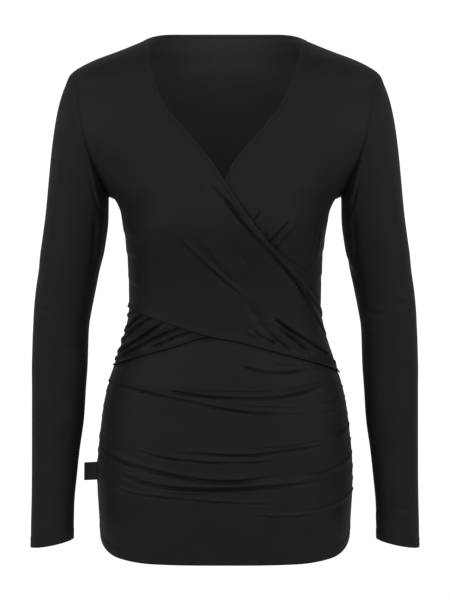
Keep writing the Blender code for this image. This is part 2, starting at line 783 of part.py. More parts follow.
def make_label(cloth):
    rows = []
    for height in np.linspace(LABEL_HEIGHTS[1], LABEL_HEIGHTS[0], 4):
        seam = body(-90.0, height)
        reach = np.linspace(SEAM_GAP, LABEL_REACH, 6)
        swing = LABEL_SWING * (reach / LABEL_REACH) ** 2
        rows.append(np.stack([seam[0] - reach, SEAM_PLANE_Y + swing, height - 0.06 * reach], -1))
    middle = np.stack(rows)
    half = np.array([0.0, LABEL_HALF_THICKNESS, 0.0])
    wall_object("side_label", middle - half, middle + half, cloth)


def make_top():
    clear_scene()
    cloth = make_material("jersey", JERSEY_BLACK, 0.7)
    tape = make_material("binding_jersey", BINDING_BLACK, 0.65)
    woven = make_material("label_satin", LABEL_BLACK, 0.5)
    make_back(cloth, tape)
    make_lower_front(cloth)
    make_wraps(cloth, tape)
    make_sleeves(cloth)
    make_label(woven)


make_top()
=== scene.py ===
import math

import bmesh
import bpy
import numpy as np
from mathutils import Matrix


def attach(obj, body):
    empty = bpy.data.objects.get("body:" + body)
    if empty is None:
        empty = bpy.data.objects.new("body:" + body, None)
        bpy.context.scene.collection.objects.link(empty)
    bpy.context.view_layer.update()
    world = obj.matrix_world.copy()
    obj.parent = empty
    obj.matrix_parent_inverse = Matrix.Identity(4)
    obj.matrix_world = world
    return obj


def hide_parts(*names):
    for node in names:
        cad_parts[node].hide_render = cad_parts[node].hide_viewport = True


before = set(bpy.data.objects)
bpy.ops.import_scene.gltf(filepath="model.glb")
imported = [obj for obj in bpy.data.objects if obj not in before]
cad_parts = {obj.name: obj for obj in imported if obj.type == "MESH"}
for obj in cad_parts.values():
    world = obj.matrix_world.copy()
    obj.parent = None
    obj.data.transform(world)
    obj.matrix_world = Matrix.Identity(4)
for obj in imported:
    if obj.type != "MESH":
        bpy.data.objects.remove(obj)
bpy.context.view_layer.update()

# A long-sleeved wrap top in black jersey, filled out as it hangs from a wearer's shoulders.
# Sizes are in millimetres and angles in degrees until a mesh is made. The front faces -Y.
# Angle 0 is the middle of the front, 90 the side seam on +X, 180 the middle of the back.
# Height 0 is level with the middle of the shoulder seams.
# The outline and the places on the front come from the photo. Helper scripts measured its edges
# and turned what was read off it into angles and heights, and many were then changed by hand.
# The folds of the back and the sleeves are made up.

mm = 0.001
curveSteps = 600               # how finely an outline is walked along
weldWithin = 0.001
noiseSpan = (0.3, 0.7)         # nearly all of a noise's values lie in this

cloth = {
    "thickness": 0.8,
    "layerStep": 1.6,          # a covered layer lies this far beneath the one on top
    "layerRamp": 9.0,
    "layerMargin": 1.5,
    "hiddenSink": 2.5,         # and this much further, well inside the cover's edges
    "hiddenSinkFrom": 10.0,
    "hiddenSinkRamp": 15.0,
    "seamGap": 0.2,
    "seamRoll": 1.0,           # sewn edges turn in towards their seam
    "seamRollWidth": 2.0,
    "flatSeam": 0.3,           # the share of it above the chest
    "flatSeamEnd": -112.0,
    "flatSeamRamp": 50.0,
    "hemThickness": 0.35,      # what the turned hem adds
    "hemStep": 1.2,
    "flareCurve": 1.4,
    "stitchDitch": 0.2,
    "stitchDitchWidth": 0.9,
    "roundEdge": 0.35,
    "mmPerDegree": 2.3,        # cloth round the form, for fold routes and the grain
}

form = {
    "seamPlaneY": 5.0,
    "squareness": 0.25,
    "bustFullness": 12.0,
    "bustX": 78.0,
    "bustHeight": -222.0,
    "bustWidth": 48.0,
    "bustTall": 52.0,
    "neckPoint": 15.6,
    "shoulderTip": -27.0,
    "underarm": -192.0,
    # height, half width, depth in front, depth behind
    "sections": np.array([
        (-700, 159.0, 106.0, 108.0),
        (-667, 161.0, 108.0, 112.0),
        (-600, 165.0, 111.0, 118.0),
        (-560, 167.0, 112.0, 122.0),
        (-530, 166.4, 112.0, 122.0),
        (-490, 162.5, 110.0, 117.0),
        (-460, 158.5, 107.0, 108.0),
        (-430, 152.0, 104.0, 98.0),
        (-400, 142.4, 99.0, 87.0),
        (-375, 134.0, 95.0, 79.0),
        (-350, 127.5, 92.0, 74.0),
        (-325, 125.0, 92.0, 72.0),
        (-300, 125.4, 94.0, 75.0),
        (-270, 126.8, 101.0, 81.0),
        (-245, 129.4, 110.0, 87.0),
        (-220, 133.5, 115.0, 92.0),
        (-205, 136.5, 114.5, 94.0),
        (-190, 144.5, 113.0, 96.0),
        (-173, 163.0, 110.0, 97.5),
        (-151, 184.0, 106.0, 99.0),
        (-127, 207.0, 101.0, 100.0),
        (-101, 221.0, 95.0, 99.0),
        (-75, 220.0, 89.0, 95.0),
        (-52, 209.0, 82.0, 88.0),
        (-26, 195.0, 72.0, 78.0),
        (-12, 169.0, 66.0, 73.0),
        (0, 137.0, 58.0, 67.0),
        (8, 117.0, 53.0, 63.5),
        (15.6, 100.0, 48.0, 60.0),
        (22, 92.0, 44.0, 57.0),
        (40, 80.0, 38.0, 52.0),
    ]),
    # the armhole, shoulder tip to underarm: height, angle from the front, angle from the back
    "armhole": np.array([
        (-27, 90.0, 90.0),
        (-34, 76.0, 80.0),
        (-47, 66.0, 68.0),
        (-64, 60.5, 63.0),
        (-83, 57.0, 60.0),
        (-102, 55.2, 58.5),
        (-121, 56.5, 60.0),
        (-141, 60.8, 64.0),
        (-160, 67.5, 70.5),
        (-178, 77.5, 79.0),
        (-192, 90.0, 90.0),
    ]),
}


# Curves and blends

def ease(value):
    share = np.clip(value, 0.0, 1.0)
    return share * share * (3 - 2 * share)


# a smooth curve through the values that never swings past them
def flow(knots, values, at):
    knots = np.asarray(knots, float)
    values = np.asarray(values, float)
    step = np.diff(knots)
    slope = np.diff(values) / step
    tangent = np.empty(len(values))
    tangent[0] = slope[0]
    tangent[-1] = slope[-1]
    sameWay = slope[:-1] * slope[1:] > 0
    weight = slope[:-1] * step[1:] + slope[1:] * step[:-1]
    tangent[1:-1] = np.where(sameWay, weight / (step[:-1] + step[1:]), 0)
    cell = np.clip(np.searchsorted(knots, at, side="right") - 1, 0, len(step) - 1)
    share = (at - knots[cell]) / step[cell]
    rest = 1 - share
    return ((1 + 2 * share) * rest ** 2 * values[cell]
            + share * rest ** 2 * step[cell] * tangent[cell]
            + share ** 2 * (3 - 2 * share) * values[cell + 1]
            - share ** 2 * rest * step[cell] * tangent[cell + 1])


# the same through rows of several values
def flowRows(marks, rows, at):
    return np.stack([flow(marks, rows[:, k], at) for k in range(rows.shape[1])], -1)


def indexed(table, at):
    return flowRows(np.arange(len(table)), table, at)


def unit(vectors):
    return vectors / np.linalg.norm(vectors, axis=-1, keepdims=True)


# how far along a line each of its points is
def lengthsAlong(points):
    return np.concatenate([[0], np.cumsum(np.linalg.norm(np.diff(points, axis=0), axis=1))])


# spots as their angles and their heights
def split(spots):
    return spots[..., 0], spots[..., 1]


def closed(ring):
    return np.concatenate([ring, ring[:, :1]], 1)


# The filled-out form that all the panels are cut for

def body(angle, height):
    turn = np.radians(angle)
    side = np.sin(turn)
    towardFront = np.cos(turn)
    sections = form["sections"]
    halfWidth, front, behind = (flow(sections[:, 0], sections[:, k], height) for k in (1, 2, 3))
    x = halfWidth * side
    depth = np.where(towardFront > 0, -front, behind) * np.abs(towardFront)
    depth = depth * (1 + form["squareness"] * side ** 2)
    tall = np.exp(-((height - form["bustHeight"]) / form["bustTall"]) ** 2)
    wide = np.exp(-((x - form["bustX"]) / form["bustWidth"]) ** 2)
    wide = wide + np.exp(-((x + form["bustX"]) / form["bustWidth"]) ** 2)
    bust = form["bustFullness"] * tall * wide * np.clip(towardFront, 0, 1)
    return np.stack([x, form["seamPlaneY"] + depth - bust, height + 0 * x], -1)


def slopes(angle, height):
    nudge = 0.05
    roundIt = (body(angle + nudge, height) - body(angle - nudge, height)) / (2 * nudge)
    upIt = (body(angle, height + nudge) - body(angle, height - nudge)) / (2 * nudge)
    return roundIt, upIt


def outward(angle, height):
    roundIt, upIt = slopes(angle, height)
    return unit(np.cross(roundIt, upIt))


def placed(spots, lift):
    return body(*split(spots)) + outward(*split(spots)) * np.asarray(lift)[..., None]


# spots moved over the form, to the left of the way that they run
def shiftInto(spots, along, distance):
    roundIt, upIt = slopes(*split(spots))
    normal = unit(np.cross(roundIt, upIt))
    tangent = unit(np.gradient(body(*split(spots)), axis=0))
    across = np.cross(normal, tangent) * along
    moved = spots.copy()
    moved[:, 0] += distance * np.sum(across * roundIt, -1) / np.sum(roundIt ** 2, -1)
    moved[:, 1] += distance * np.sum(across * upIt, -1) / np.sum(upIt ** 2, -1)
    return moved


# the first and last spots carried on, or cut back, to the seams at 90 degrees
def runToSeams(spots):
    carried = spots.copy()
    for end, inside in ((0, 1), (-1, -2)):
        seam = np.sign(spots[end, 0]) * 90.0
        share = (seam - spots[inside, 0]) / (spots[end, 0] - spots[inside, 0])
        carried[end] = spots[inside] + share * (spots[end] - spots[inside])
    return carried


def insetFromSeams(spots, middle=0.0, depthColumn=2):
    depth = flow(form["sections"][:, 0], form["sections"][:, depthColumn], spots[..., 1])
    margin = np.degrees(cloth["seamGap"] / 2 / (depth * (1 + form["squareness"])))
    drawn = spots.copy()
    drawn[..., 0] = np.clip(spots[..., 0], middle - 90 + margin, middle + 90 - margin)
    return drawn


# points at the given shares of an outline's length over the form
def runAlong(outline, shares):
    fine = np.linspace(0, 1, curveSteps)
    marks = np.linspace(0, 1, len(outline))
    length = lengthsAlong(body(*split(flowRows(marks, outline, fine))))
    return flowRows(marks, outline, np.interp(shares, length / length[-1], fine))


def heightOn(outline, angle):
    order = np.argsort(outline[:, 0])
    return flow(outline[order, 0], outline[order, 1], np.clip(angle, -90, 90))


# Folds: a trough along a route, steep towards its lip and gentle on the other side.
# The route is (angle, height) points; its lip is on the left of the way that it runs when lip
# is above zero, and on the right when it is below.

def fold(depth, halfWidth, lip, route, fadeIn=0.25, fadeOut=0.25):
    return {"depth": depth, "halfWidth": halfWidth, "lip": lip, "route": route,
            "fadeIn": fadeIn, "fadeOut": fadeOut}


foldShape = {
    "troughAt": -0.6,          # in half widths from the route, towards the lip
    "steepSide": 0.75,
    "gentleSide": 1.25,
    "lipAt": 1.1,
    "lipSteep": 0.9,
    "lipGentle": 1.9,
    # each fold swells and thins along its length, in its own places
    "unevenness": 0.22,
    "fewestWaves": 2,
    "waveChoices": 3,
    "waveStart": 1.7,
    "reach": 5.5,              # where a fold has died away
    "stepsAlong": 60,
    "smoothings": 24,
    "seamShare": 0.5,          # how much of a fold is left where a seam holds it
    "seamReach": 0.14,
}


def smoothRoute(route, mmPerDegree):
    points = np.array(route, float) * (mmPerDegree, 1.0)
    length = lengthsAlong(points)
    line = flowRows(length, points, np.linspace(0, length[-1], foldShape["stepsAlong"]))
    for _ in range(foldShape["smoothings"]):
        line[1:-1] = (line[:-2] + 2 * line[1:-1] + line[2:]) / 4
    return line


# a bump that falls away at its own rate on each side
def bump(off, middle, before, after):
    width = np.where(off < middle, before, after)
    return np.exp(-((off - middle) / width) ** 2)


def foldLift(folds, angle, height, mmPerDegree=None):
    scale = mmPerDegree or cloth["mmPerDegree"]
    lift = np.zeros(angle.shape)
    for number, one in enumerate(folds):
        line = smoothRoute(one["route"], scale)
        reach = one["halfWidth"] * foldShape["reach"]
        low = line.min(0) - reach
        high = line.max(0) + reach
        x = angle * scale
        near = (x > low[0]) & (x < high[0]) & (height > low[1]) & (height < high[1])
        if not near.any():
            continue
        spots = np.stack([x[near], height[near]], -1)
        best = np.full(len(spots), np.inf)
        off = np.zeros(len(spots))
        along = np.zeros(len(spots))
        steps = len(line) - 1
        for k in range(steps):
            start = line[k]
            run = line[k + 1] - start
            length = np.hypot(*run)
            if length < 1e-6:
                continue
            to = spots - start
            share = np.clip(to @ run / length ** 2, 0, 1)
            away = to - share[:, None] * run
            distance = np.hypot(away[:, 0], away[:, 1])
            closer = distance < best
            side = np.sign(run[0] * to[:, 1] - run[1] * to[:, 0])
            best = np.where(closer, distance, best)
            off = np.where(closer, distance * side, off)
            along = np.where(closer, (k + share) / steps, along)
        fade = np.ones(len(spots))
        for toEnd, reachOfFade in ((along, one["fadeIn"]), (1 - along, one["fadeOut"])):
            if reachOfFade:
                fade = fade * ease(toEnd / reachOfFade)
            else:
                held = foldShape["seamShare"]
                fade = fade * (held + (1 - held) * ease(toEnd / foldShape["seamReach"]))
        waves = foldShape["fewestWaves"] + number % foldShape["waveChoices"]
        turn = 2 * np.pi * waves * along + foldShape["waveStart"] * number
        uneven = 1 + foldShape["unevenness"] * np.sin(turn)
        lipSide = 1.0 if one["lip"] >= 0 else -1.0
        toLip = off * lipSide / one["halfWidth"]
        trough = bump(toLip, foldShape["troughAt"], foldShape["gentleSide"], foldShape["steepSide"])
        crest = bump(toLip, foldShape["lipAt"], foldShape["lipSteep"], foldShape["lipGentle"])
        lift[near] += (abs(one["lip"]) * crest - one["depth"] * trough) * fade * uneven
    return lift


# Layers: cloth under a cover sinks at its edge and lies flatter further in

def rampIn(distance):
    return ease((distance + cloth["layerRamp"] + cloth["layerMargin"]) / cloth["layerRamp"])


def deepIn(distance):
    return ease((distance - cloth["hiddenSinkFrom"]) / cloth["hiddenSinkRamp"])


def sunkUnder(distance, coverLift):
    covered = rampIn(distance)
    sink = cloth["layerStep"] + cloth["hiddenSink"] * deepIn(distance)
    return covered, covered * (np.minimum(coverLift, 0) - sink)


# Edges: sewn ones turn in, hems are doubled and dip at their stitching

def distanceFrom(points, edge):
    if edge in ("bottom", "last"):
        return distanceFrom(points[::-1, ::-1], "top" if edge == "bottom" else "first")[::-1, ::-1]
    axis = 0 if edge == "top" else 1
    steps = np.linalg.norm(np.diff(points, axis=axis), axis=-1)
    start = np.zeros_like(steps[:1] if axis == 0 else steps[:, :1])
    return np.cumsum(np.concatenate([start, steps], axis=axis), axis=axis)


def sewnRoll(points, edge):
    return -cloth["seamRoll"] * np.exp(-(distanceFrom(points, edge) / cloth["seamRollWidth"]) ** 2)


def seamDepth(height):
    flat = cloth["flatSeam"]
    return flat + (1 - flat) * ease((cloth["flatSeamEnd"] - height) / cloth["flatSeamRamp"])


def hemLift(points, panel):
    depth = panel["hemDepth"]
    away = distanceFrom(points, "bottom")
    lift = cloth["hemThickness"] * (1 - ease((away - depth) / cloth["hemStep"]))
    lift += panel.get("hemFlare", 0) * np.clip(1 - away / depth, 0, 1) ** cloth["flareCurve"]
    for line in panel["stitchLines"]:
        lift -= cloth["stitchDitch"] * np.exp(-((away - line) / cloth["stitchDitchWidth"]) ** 2)
    return lift


# Meshes

def shellObject(name, outer, inner, grain, materials, tube=False):
    if tube:
        outer, inner = closed(outer), closed(inner)
    rows, columns = outer.shape[:2]
    count = rows * columns
    index = np.arange(count).reshape(rows, columns)
    quads = np.stack([index[:-1, :-1], index[:-1, 1:], index[1:, 1:], index[1:, :-1]], -1).reshape(-1, 4)
    if tube:
        loops = [[(0, j) for j in range(columns)], [(rows - 1, j) for j in range(columns)]]
    else:
        border = [(0, j) for j in range(columns)] + [(i, columns - 1) for i in range(1, rows)]
        border += [(rows - 1, j) for j in range(columns - 2, -1, -1)]
        border += [(i, 0) for i in range(rows - 2, -1, -1)]
        loops = [border]
    points = [outer.reshape(-1, 3), inner.reshape(-1, 3)]
    grains = [grain.reshape(-1, 2)] * 2
    faces = [quads, quads[:, ::-1] + count]
    first = 2 * count
    for loop in loops:
        at = np.array(loop)
        inside = at.copy()
        inside[:, 0] = np.clip(at[:, 0], 1, rows - 2)
        if not tube:
            inside[:, 1] = np.clip(at[:, 1], 1, columns - 2)
        edge = outer[at[:, 0], at[:, 1]]
        away = edge - outer[inside[:, 0], inside[:, 1]]
        away = away / np.maximum(np.linalg.norm(away, axis=1, keepdims=True), 1e-9)
        middle = (edge + inner[at[:, 0], at[:, 1]]) / 2 + away * cloth["roundEdge"]
        if not tube:
            middle = middle[:-1]
        points.append(middle)
        ids = index[at[:, 0], at[:, 1]]
        grains.append(grain.reshape(-1, 2)[ids[:len(middle)]])
        mids = first + np.arange(len(middle))
        if not tube:
            mids = np.append(mids, first)
        faces.append(np.stack([ids[:-1], ids[1:], mids[1:], mids[:-1]], -1))
        faces.append(np.stack([mids[:-1], mids[1:], ids[1:] + count, ids[:-1] + count], -1))
        first += len(middle)
    faces = np.concatenate(faces)
    allGrains = np.concatenate(grains)
    data = bpy.data.meshes.new(name)
    data.from_pydata((np.concatenate(points) * mm).tolist(), [], faces.tolist())
    layer = data.uv_layers.new(name="grain")
    layer.data.foreach_set("uv", allGrains[faces.ravel()].astype(np.float32).ravel())
    inward = np.zeros(len(faces), np.int32)
    inward[len(quads):2 * len(quads)] = 1
    for material in materials:
        data.materials.append(material)
    data.polygons.foreach_set("material_index", inward)
    return finishMesh(name, data, weld=tube)


def finishMesh(name, data, weld=False):
    mesh = bmesh.new()
    mesh.from_mesh(data)
    if weld:
        bmesh.ops.remove_doubles(mesh, verts=mesh.verts, dist=weldWithin * mm)
    bmesh.ops.recalc_face_normals(mesh, faces=mesh.faces)
    mesh.to_mesh(data)
    mesh.free()
    data.shade_smooth()
    return addObject(name, data)


def addObject(name, data):
    thing = bpy.data.objects.new(name, data)
    bpy.context.scene.collection.objects.link(thing)
    return thing


# the faces of a bar: rings of corners joined in a row, and both ends
def barFaces(first, rings, sides):
    faces = []
    for here in range(first, first + (rings - 1) * sides, sides):
        for j in range(sides):
            n = (j + 1) % sides
            faces.append((here + j, here + n, here + sides + n, here + sides + j))
    for end in (first, first + (rings - 1) * sides):
        faces.append(tuple(range(end, end + sides)))
    return faces


def dress(piece, node):
    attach(piece, "root")
    if node:
        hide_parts(node)


def grainOf(spots):
    return np.stack([spots[..., 0] * cloth["mmPerDegree"], spots[..., 1]], -1)


# a panel over the form: spots, their lift, and what its edges add
def panelGrids(spots, lift, rolls, panel):
    base = placed(spots, lift)
    for edge, where in rolls:
        lift = lift + sewnRoll(base, edge) * where
    lift = lift + hemLift(base, panel)
    normal = outward(*split(spots))
    outer = body(*split(spots)) + normal * lift[..., None]
    return outer, outer - normal * cloth["thickness"], normal, lift


# Stitching: small arched threads along a line

thread = {
    "radius": 0.24,
    "length": 2.6,
    "gap": 0.7,
    "sink": 0.22,
    "sides": 5,
    # shares of a stitch's length, and how far it swells and rises there
    "stations": np.array([0.0, 0.12, 0.5, 0.88, 1.0]),
    "swell": np.array([0.25, 0.8, 1.0, 0.8, 0.25]),
}


def lineAcross(outer, normal, distance):
    away = distanceFrom(outer, "bottom")
    line = []
    facing = []
    for j in range(outer.shape[1]):
        run = away[::-1, j]
        line.append([np.interp(distance, run, outer[::-1, j, k]) for k in range(3)])
        facing.append([np.interp(distance, run, normal[::-1, j, k]) for k in range(3)])
    return np.array(line), unit(np.array(facing))


def stitchGrids(line, facing):
    length = lengthsAlong(line)
    pitch = thread["length"] + thread["gap"]
    count = int(length[-1] // pitch)
    turns = np.linspace(0, 2 * np.pi, thread["sides"], endpoint=False)
    swell = thread["swell"]
    starts = (np.arange(count) + 0.5) * pitch - thread["length"] / 2
    at = starts[:, None] + thread["stations"][None] * thread["length"]
    centre = np.stack([np.interp(at, length, line[:, k]) for k in range(3)], -1)
    up = unit(np.stack([np.interp(at, length, facing[:, k]) for k in range(3)], -1))
    ahead = unit(np.broadcast_to((centre[:, -1] - centre[:, 0])[:, None], centre.shape))
    across = unit(np.cross(ahead, up))
    lifted = centre + up * (thread["radius"] * swell - thread["sink"] * (1 - swell))[None, :, None]
    radius = (thread["radius"] * swell)[None, :, None, None]
    ring = (np.cos(turns)[:, None] * across[:, :, None] + np.sin(turns)[:, None] * up[:, :, None])
    return lifted[:, :, None] + radius * ring


# a panel's stitching: its lines above the lower edge, and any others that it has
def addStitching(name, panel, outer, normal, others=()):
    runs = [lineAcross(outer, normal, distance) for distance in panel["stitchLines"]]
    rings = np.concatenate([stitchGrids(*run) for run in (*runs, *others)])
    count, stations, sides = rings.shape[:3]
    faces = []
    for k in range(count):
        faces += barFaces(k * stations * sides, stations, sides)
    data = bpy.data.meshes.new(name + "_stitching")
    data.from_pydata((rings.reshape(-1, 3) * mm).tolist(), [], faces)
    data.materials.append(blackThread)
    stitches = finishMesh(name + "_stitching", data)
    dress(stitches, None)
    return stitches


# Materials

def addNode(tree, kind, **values):
    node = tree.nodes.new(kind)
    for key, value in values.items():
        if key in node.inputs:
            node.inputs[key].default_value = value
        else:
            setattr(node, key, value)
    return node


def maths(tree, operation, first, second=None):
    node = addNode(tree, "ShaderNodeMath", operation=operation)
    for socket, value in zip(node.inputs, (first, second)):
        if value is None:
            continue
        if isinstance(value, (int, float)):
            socket.default_value = value
        else:
            tree.links.new(value, socket)
    return node.outputs[0]


def mapped(tree, value, low, high):
    node = addNode(tree, "ShaderNodeMapRange")
    tree.links.new(value, node.inputs["Value"])
    node.inputs["From Min"].default_value = noiseSpan[0]
    node.inputs["From Max"].default_value = noiseSpan[1]
    node.inputs["To Min"].default_value = low
    node.inputs["To Max"].default_value = high
    return node.outputs["Result"]


# fine jersey: columns of small loops down the cloth, fibre flecks and a soft sheen
def jerseyMaterial(name, look):
    material = bpy.data.materials.new(name)
    material.use_nodes = True
    tree = material.node_tree
    shader = tree.nodes["Principled BSDF"]
    grain = addNode(tree, "ShaderNodeUVMap", uv_map="grain")
    parts = addNode(tree, "ShaderNodeSeparateXYZ")
    tree.links.new(grain.outputs["UV"], parts.inputs["Vector"])
    u, v = parts.outputs["X"], parts.outputs["Y"]
    columnTurn = maths(tree, "MULTIPLY", u, math.pi / look["columnWidth"])
    columnShape = maths(tree, "ABSOLUTE", maths(tree, "SINE", columnTurn))
    loopTurn = maths(tree, "MULTIPLY", v, 2 * math.pi / look["loopHeight"])
    bent = maths(tree, "ADD", loopTurn, maths(tree, "MULTIPLY", columnShape, look["loopBend"]))
    loopShape = maths(tree, "MULTIPLY", maths(tree, "SINE", bent), look["loopRise"])
    knit = maths(tree, "ADD", columnShape, loopShape)
    where = addNode(tree, "ShaderNodeTexCoord")
    fibre = addNode(tree, "ShaderNodeTexNoise", Scale=look["fibreScale"], Detail=look["fibreDetail"])
    tree.links.new(where.outputs["Object"], fibre.inputs["Vector"])
    cloud = addNode(tree, "ShaderNodeTexNoise", Scale=look["cloudScale"], Detail=look["cloudDetail"])
    tree.links.new(where.outputs["Object"], cloud.inputs["Vector"])
    surface = maths(tree, "ADD", knit, maths(tree, "MULTIPLY", fibre.outputs["Fac"], look["fuzz"]))
    relief = addNode(tree, "ShaderNodeBump", Strength=look["bump"], Distance=look["bumpDepth"] * mm)
    tree.links.new(surface, relief.inputs["Height"])
    tree.links.new(relief.outputs["Normal"], shader.inputs["Normal"])
    tone = maths(tree, "ADD", maths(tree, "MULTIPLY", fibre.outputs["Fac"], look["fibreShare"]),
                 maths(tree, "MULTIPLY", cloud.outputs["Fac"], 1 - look["fibreShare"]))
    mix = addNode(tree, "ShaderNodeMix", data_type="RGBA")
    tree.links.new(mapped(tree, tone, 0.0, 1.0), mix.inputs[0])
    mix.inputs[6].default_value = (*look["dark"], 1)
    mix.inputs[7].default_value = (*look["light"], 1)
    tree.links.new(mix.outputs[2], shader.inputs["Base Color"])
    tree.links.new(mapped(tree, cloud.outputs["Fac"], *look["roughness"]), shader.inputs["Roughness"])
    shader.inputs["Specular IOR Level"].default_value = look["gloss"]
    shader.inputs["Sheen Weight"].default_value = look["sheen"]
    shader.inputs["Sheen Roughness"].default_value = look["sheenRoughness"]
    shader.inputs["Sheen Tint"].default_value = (*look["sheenTint"], 1)
    return material


jerseyLook = {
    "dark": (0.0090, 0.0089, 0.0090),
    "light": (0.0135, 0.0133, 0.0134),
    "roughness": (0.50, 0.60),
    "gloss": 0.13,
    "sheen": 0.03,
    "sheenRoughness": 0.40,
    "sheenTint": (0.85, 0.85, 0.88),
    "columnWidth": 0.62,
    "loopHeight": 0.55,
    "loopBend": 2.2,
    "loopRise": 0.35,          # against the rise of a column
    "fibreScale": 900.0,
    "fibreDetail": 3.0,
    "fibreShare": 0.5,
    "cloudScale": 28.0,
    "cloudDetail": 2.0,
    "fuzz": 0.7,
    "bump": 0.35,
    "bumpDepth": 0.09,
}
# The inside faces: the same black jersey made about four times lighter. Most of this is painted light,
# standing for the light that comes in through the neck opening onto the inside of the back; a little is the
# greyer look of the knit's reverse face.
insidePaintedLightLook = dict(jerseyLook, dark=(0.0380, 0.0371, 0.0363), light=(0.0538, 0.0525, 0.0514),
                  roughness=(0.66, 0.78), gloss=0.25, sheen=0.20)
# The binding tape: the same black jersey made about a tenth lighter, a painted highlight for the bright
# line along the tape's folded edge.
tapeHighlightLook = dict(jerseyLook, dark=(0.0100, 0.0100, 0.0103), light=(0.0150, 0.0149, 0.0151),
                roughness=(0.56, 0.66), sheen=0.08)
threadLook = dict(jerseyLook, dark=(0.010, 0.010, 0.010), light=(0.015, 0.015, 0.015),
                  roughness=(0.46, 0.54), gloss=0.2, sheen=0.0, bump=0.1)
labelLook = dict(jerseyLook, dark=(0.008, 0.008, 0.008), light=(0.012, 0.012, 0.012),
                 roughness=(0.36, 0.44), gloss=0.5, sheen=0.05, columnWidth=0.3, loopHeight=0.25)

jersey = jerseyMaterial("jersey", jerseyLook)
# inside faces, lightened mostly by painted light from the neck opening
jerseyInsidePaintedLight = jerseyMaterial("jerseyInsidePaintedLight", insidePaintedLightLook)
# the binding tape, lightened by a painted highlight
tapeJerseyPaintedHighlight = jerseyMaterial("tapeJerseyPaintedHighlight", tapeHighlightLook)
blackThread = jerseyMaterial("blackThread", threadLook)
labelSatin = jerseyMaterial("labelSatin", labelLook)
print("materials done")


# The wraps: rows run from the panel's own armhole and side seam to its neckline and far seam

outerWrap = {
    "sign": -1,
    "seamRows": 24,
    "farRows": 10,
    "columns": 26,
    "finer": 7,
    "hemDepth": 5.0,
    "hemFlare": 1.7,
    "stitchLines": (3.6,),
    # from the neck point on -X to the seam on +X: angle, height
    "neckline": np.array([
        (-90, 15.6), (-65, 11.5), (-46.8, 1.5), (-38.0, -8.0), (-32.7, -16.0), (-28.5, -26.5),
        (-26.0, -39.0), (-23.7, -52.0), (-21.3, -64.5), (-18.8, -77.0), (-15.9, -89.0),
        (-12.8, -102.0), (-7.7, -127.0), (-4.0, -145.0), (-0.6, -163.0), (6.0, -189.0),
        (13.4, -212.0), (25.0, -242.0), (40.0, -270.0), (55.0, -298.0), (70.0, -319.0),
        (90.0, -338.0),
    ]),
    # lower edge, from -X to +X
    "hem": np.array([
        (-90, -329.5), (-77, -331.4), (-50, -338.4), (-26.5, -351.0), (-10.7, -361.4),
        (8.0, -369.5), (30.6, -384.0), (58.5, -400.6), (90.0, -418.0),
    ]),
    "folds": [
        # the ditch beside the rolled band that runs from the crossing to the far seam
        fold(3.4, 2.1, 1.4, [(-4, -174), (5, -202), (14, -228), (26, -254), (36, -274), (47, -295),
             (58, -317), (69, -343), (90, -371)], 0.12, 0.0),
        # the groove along the binding's seam, and its end
        fold(1.3, 1.2, 0.5, [(-3, -181), (3, -193), (9, -208), (14, -219)], 0.2, 0.4),
        fold(1.8, 1.5, 0.8, [(38, -276), (46, -290), (54, -304), (65, -320), (76, -333),
             (90, -346)], 0.25, 0.0),
        # gathers that fan up from the far seam
        fold(5.2, 2.1, -2.6, [(27, -338), (33, -348), (41, -359), (50, -369), (61, -382), (75, -394),
             (90, -403)], 0.12, 0.0),
        fold(3.8, 2.3, -1.8, [(30, -350), (35, -359), (40, -368), (46, -378), (53, -391)], 0.2, 0.15),
        fold(2.9, 1.7, -1.3, [(24, -356), (28, -365), (33, -374), (38, -384)], 0.25, 0.15),
        fold(2.6, 1.6, -1.2, [(15, -352), (18, -360), (23, -367), (30, -375)], 0.2, 0.15),
        fold(1.6, 1.4, -0.8, [(9, -357), (14, -363), (22, -369)], 0.3, 0.2),
        fold(2.0, 1.8, -1.0, [(52, -374), (62, -385), (71, -395), (80, -406)], 0.35, 0.1),
        # drags across the midriff, and the hollow beside them that runs down to the gathers
        fold(2.4, 1.7, -2.0, [(13, -319), (9, -309), (3, -298), (-2, -288), (-7, -278), (-13, -266),
             (-18, -255), (-25, -240), (-32, -226)], 0.15, 0.35),
        fold(1.9, 4.8, -1.6, [(12, -308), (9, -301), (3, -287), (-3, -274), (-8, -258), (-14, -242),
             (-19, -227), (-27, -208)], 0.3, 0.4),
        fold(2.4, 5.0, -0.4, [(28, -364), (25, -355), (21, -340), (16, -324), (11, -309)], 0.3, 0.4),
        fold(1.0, 3.0, 0.5, [(22, -296), (14, -276), (6, -256), (-2, -236)], 0.4, 0.4),
        # small ones left of the crossing
        fold(1.4, 1.4, 0.6, [(-1, -189), (-4, -178), (-8, -165)], 0.2, 0.4),
        fold(0.7, 1.6, 0.4, [(-9, -182), (-13, -172)], 0.4, 0.4),
        # soft drags from the bust to the own side seam
        fold(0.7, 5.0, 0.4, [(-90, -236), (-66, -238), (-44, -250)], 0.1, 0.6),
        fold(0.8, 4.5, 0.5, [(-90, -262), (-72, -262), (-52, -272)], 0.1, 0.6),
        fold(0.7, 4.0, 0.4, [(-90, -294), (-74, -298), (-50, -310), (-34, -322)], 0.1, 0.6),
    ],
}


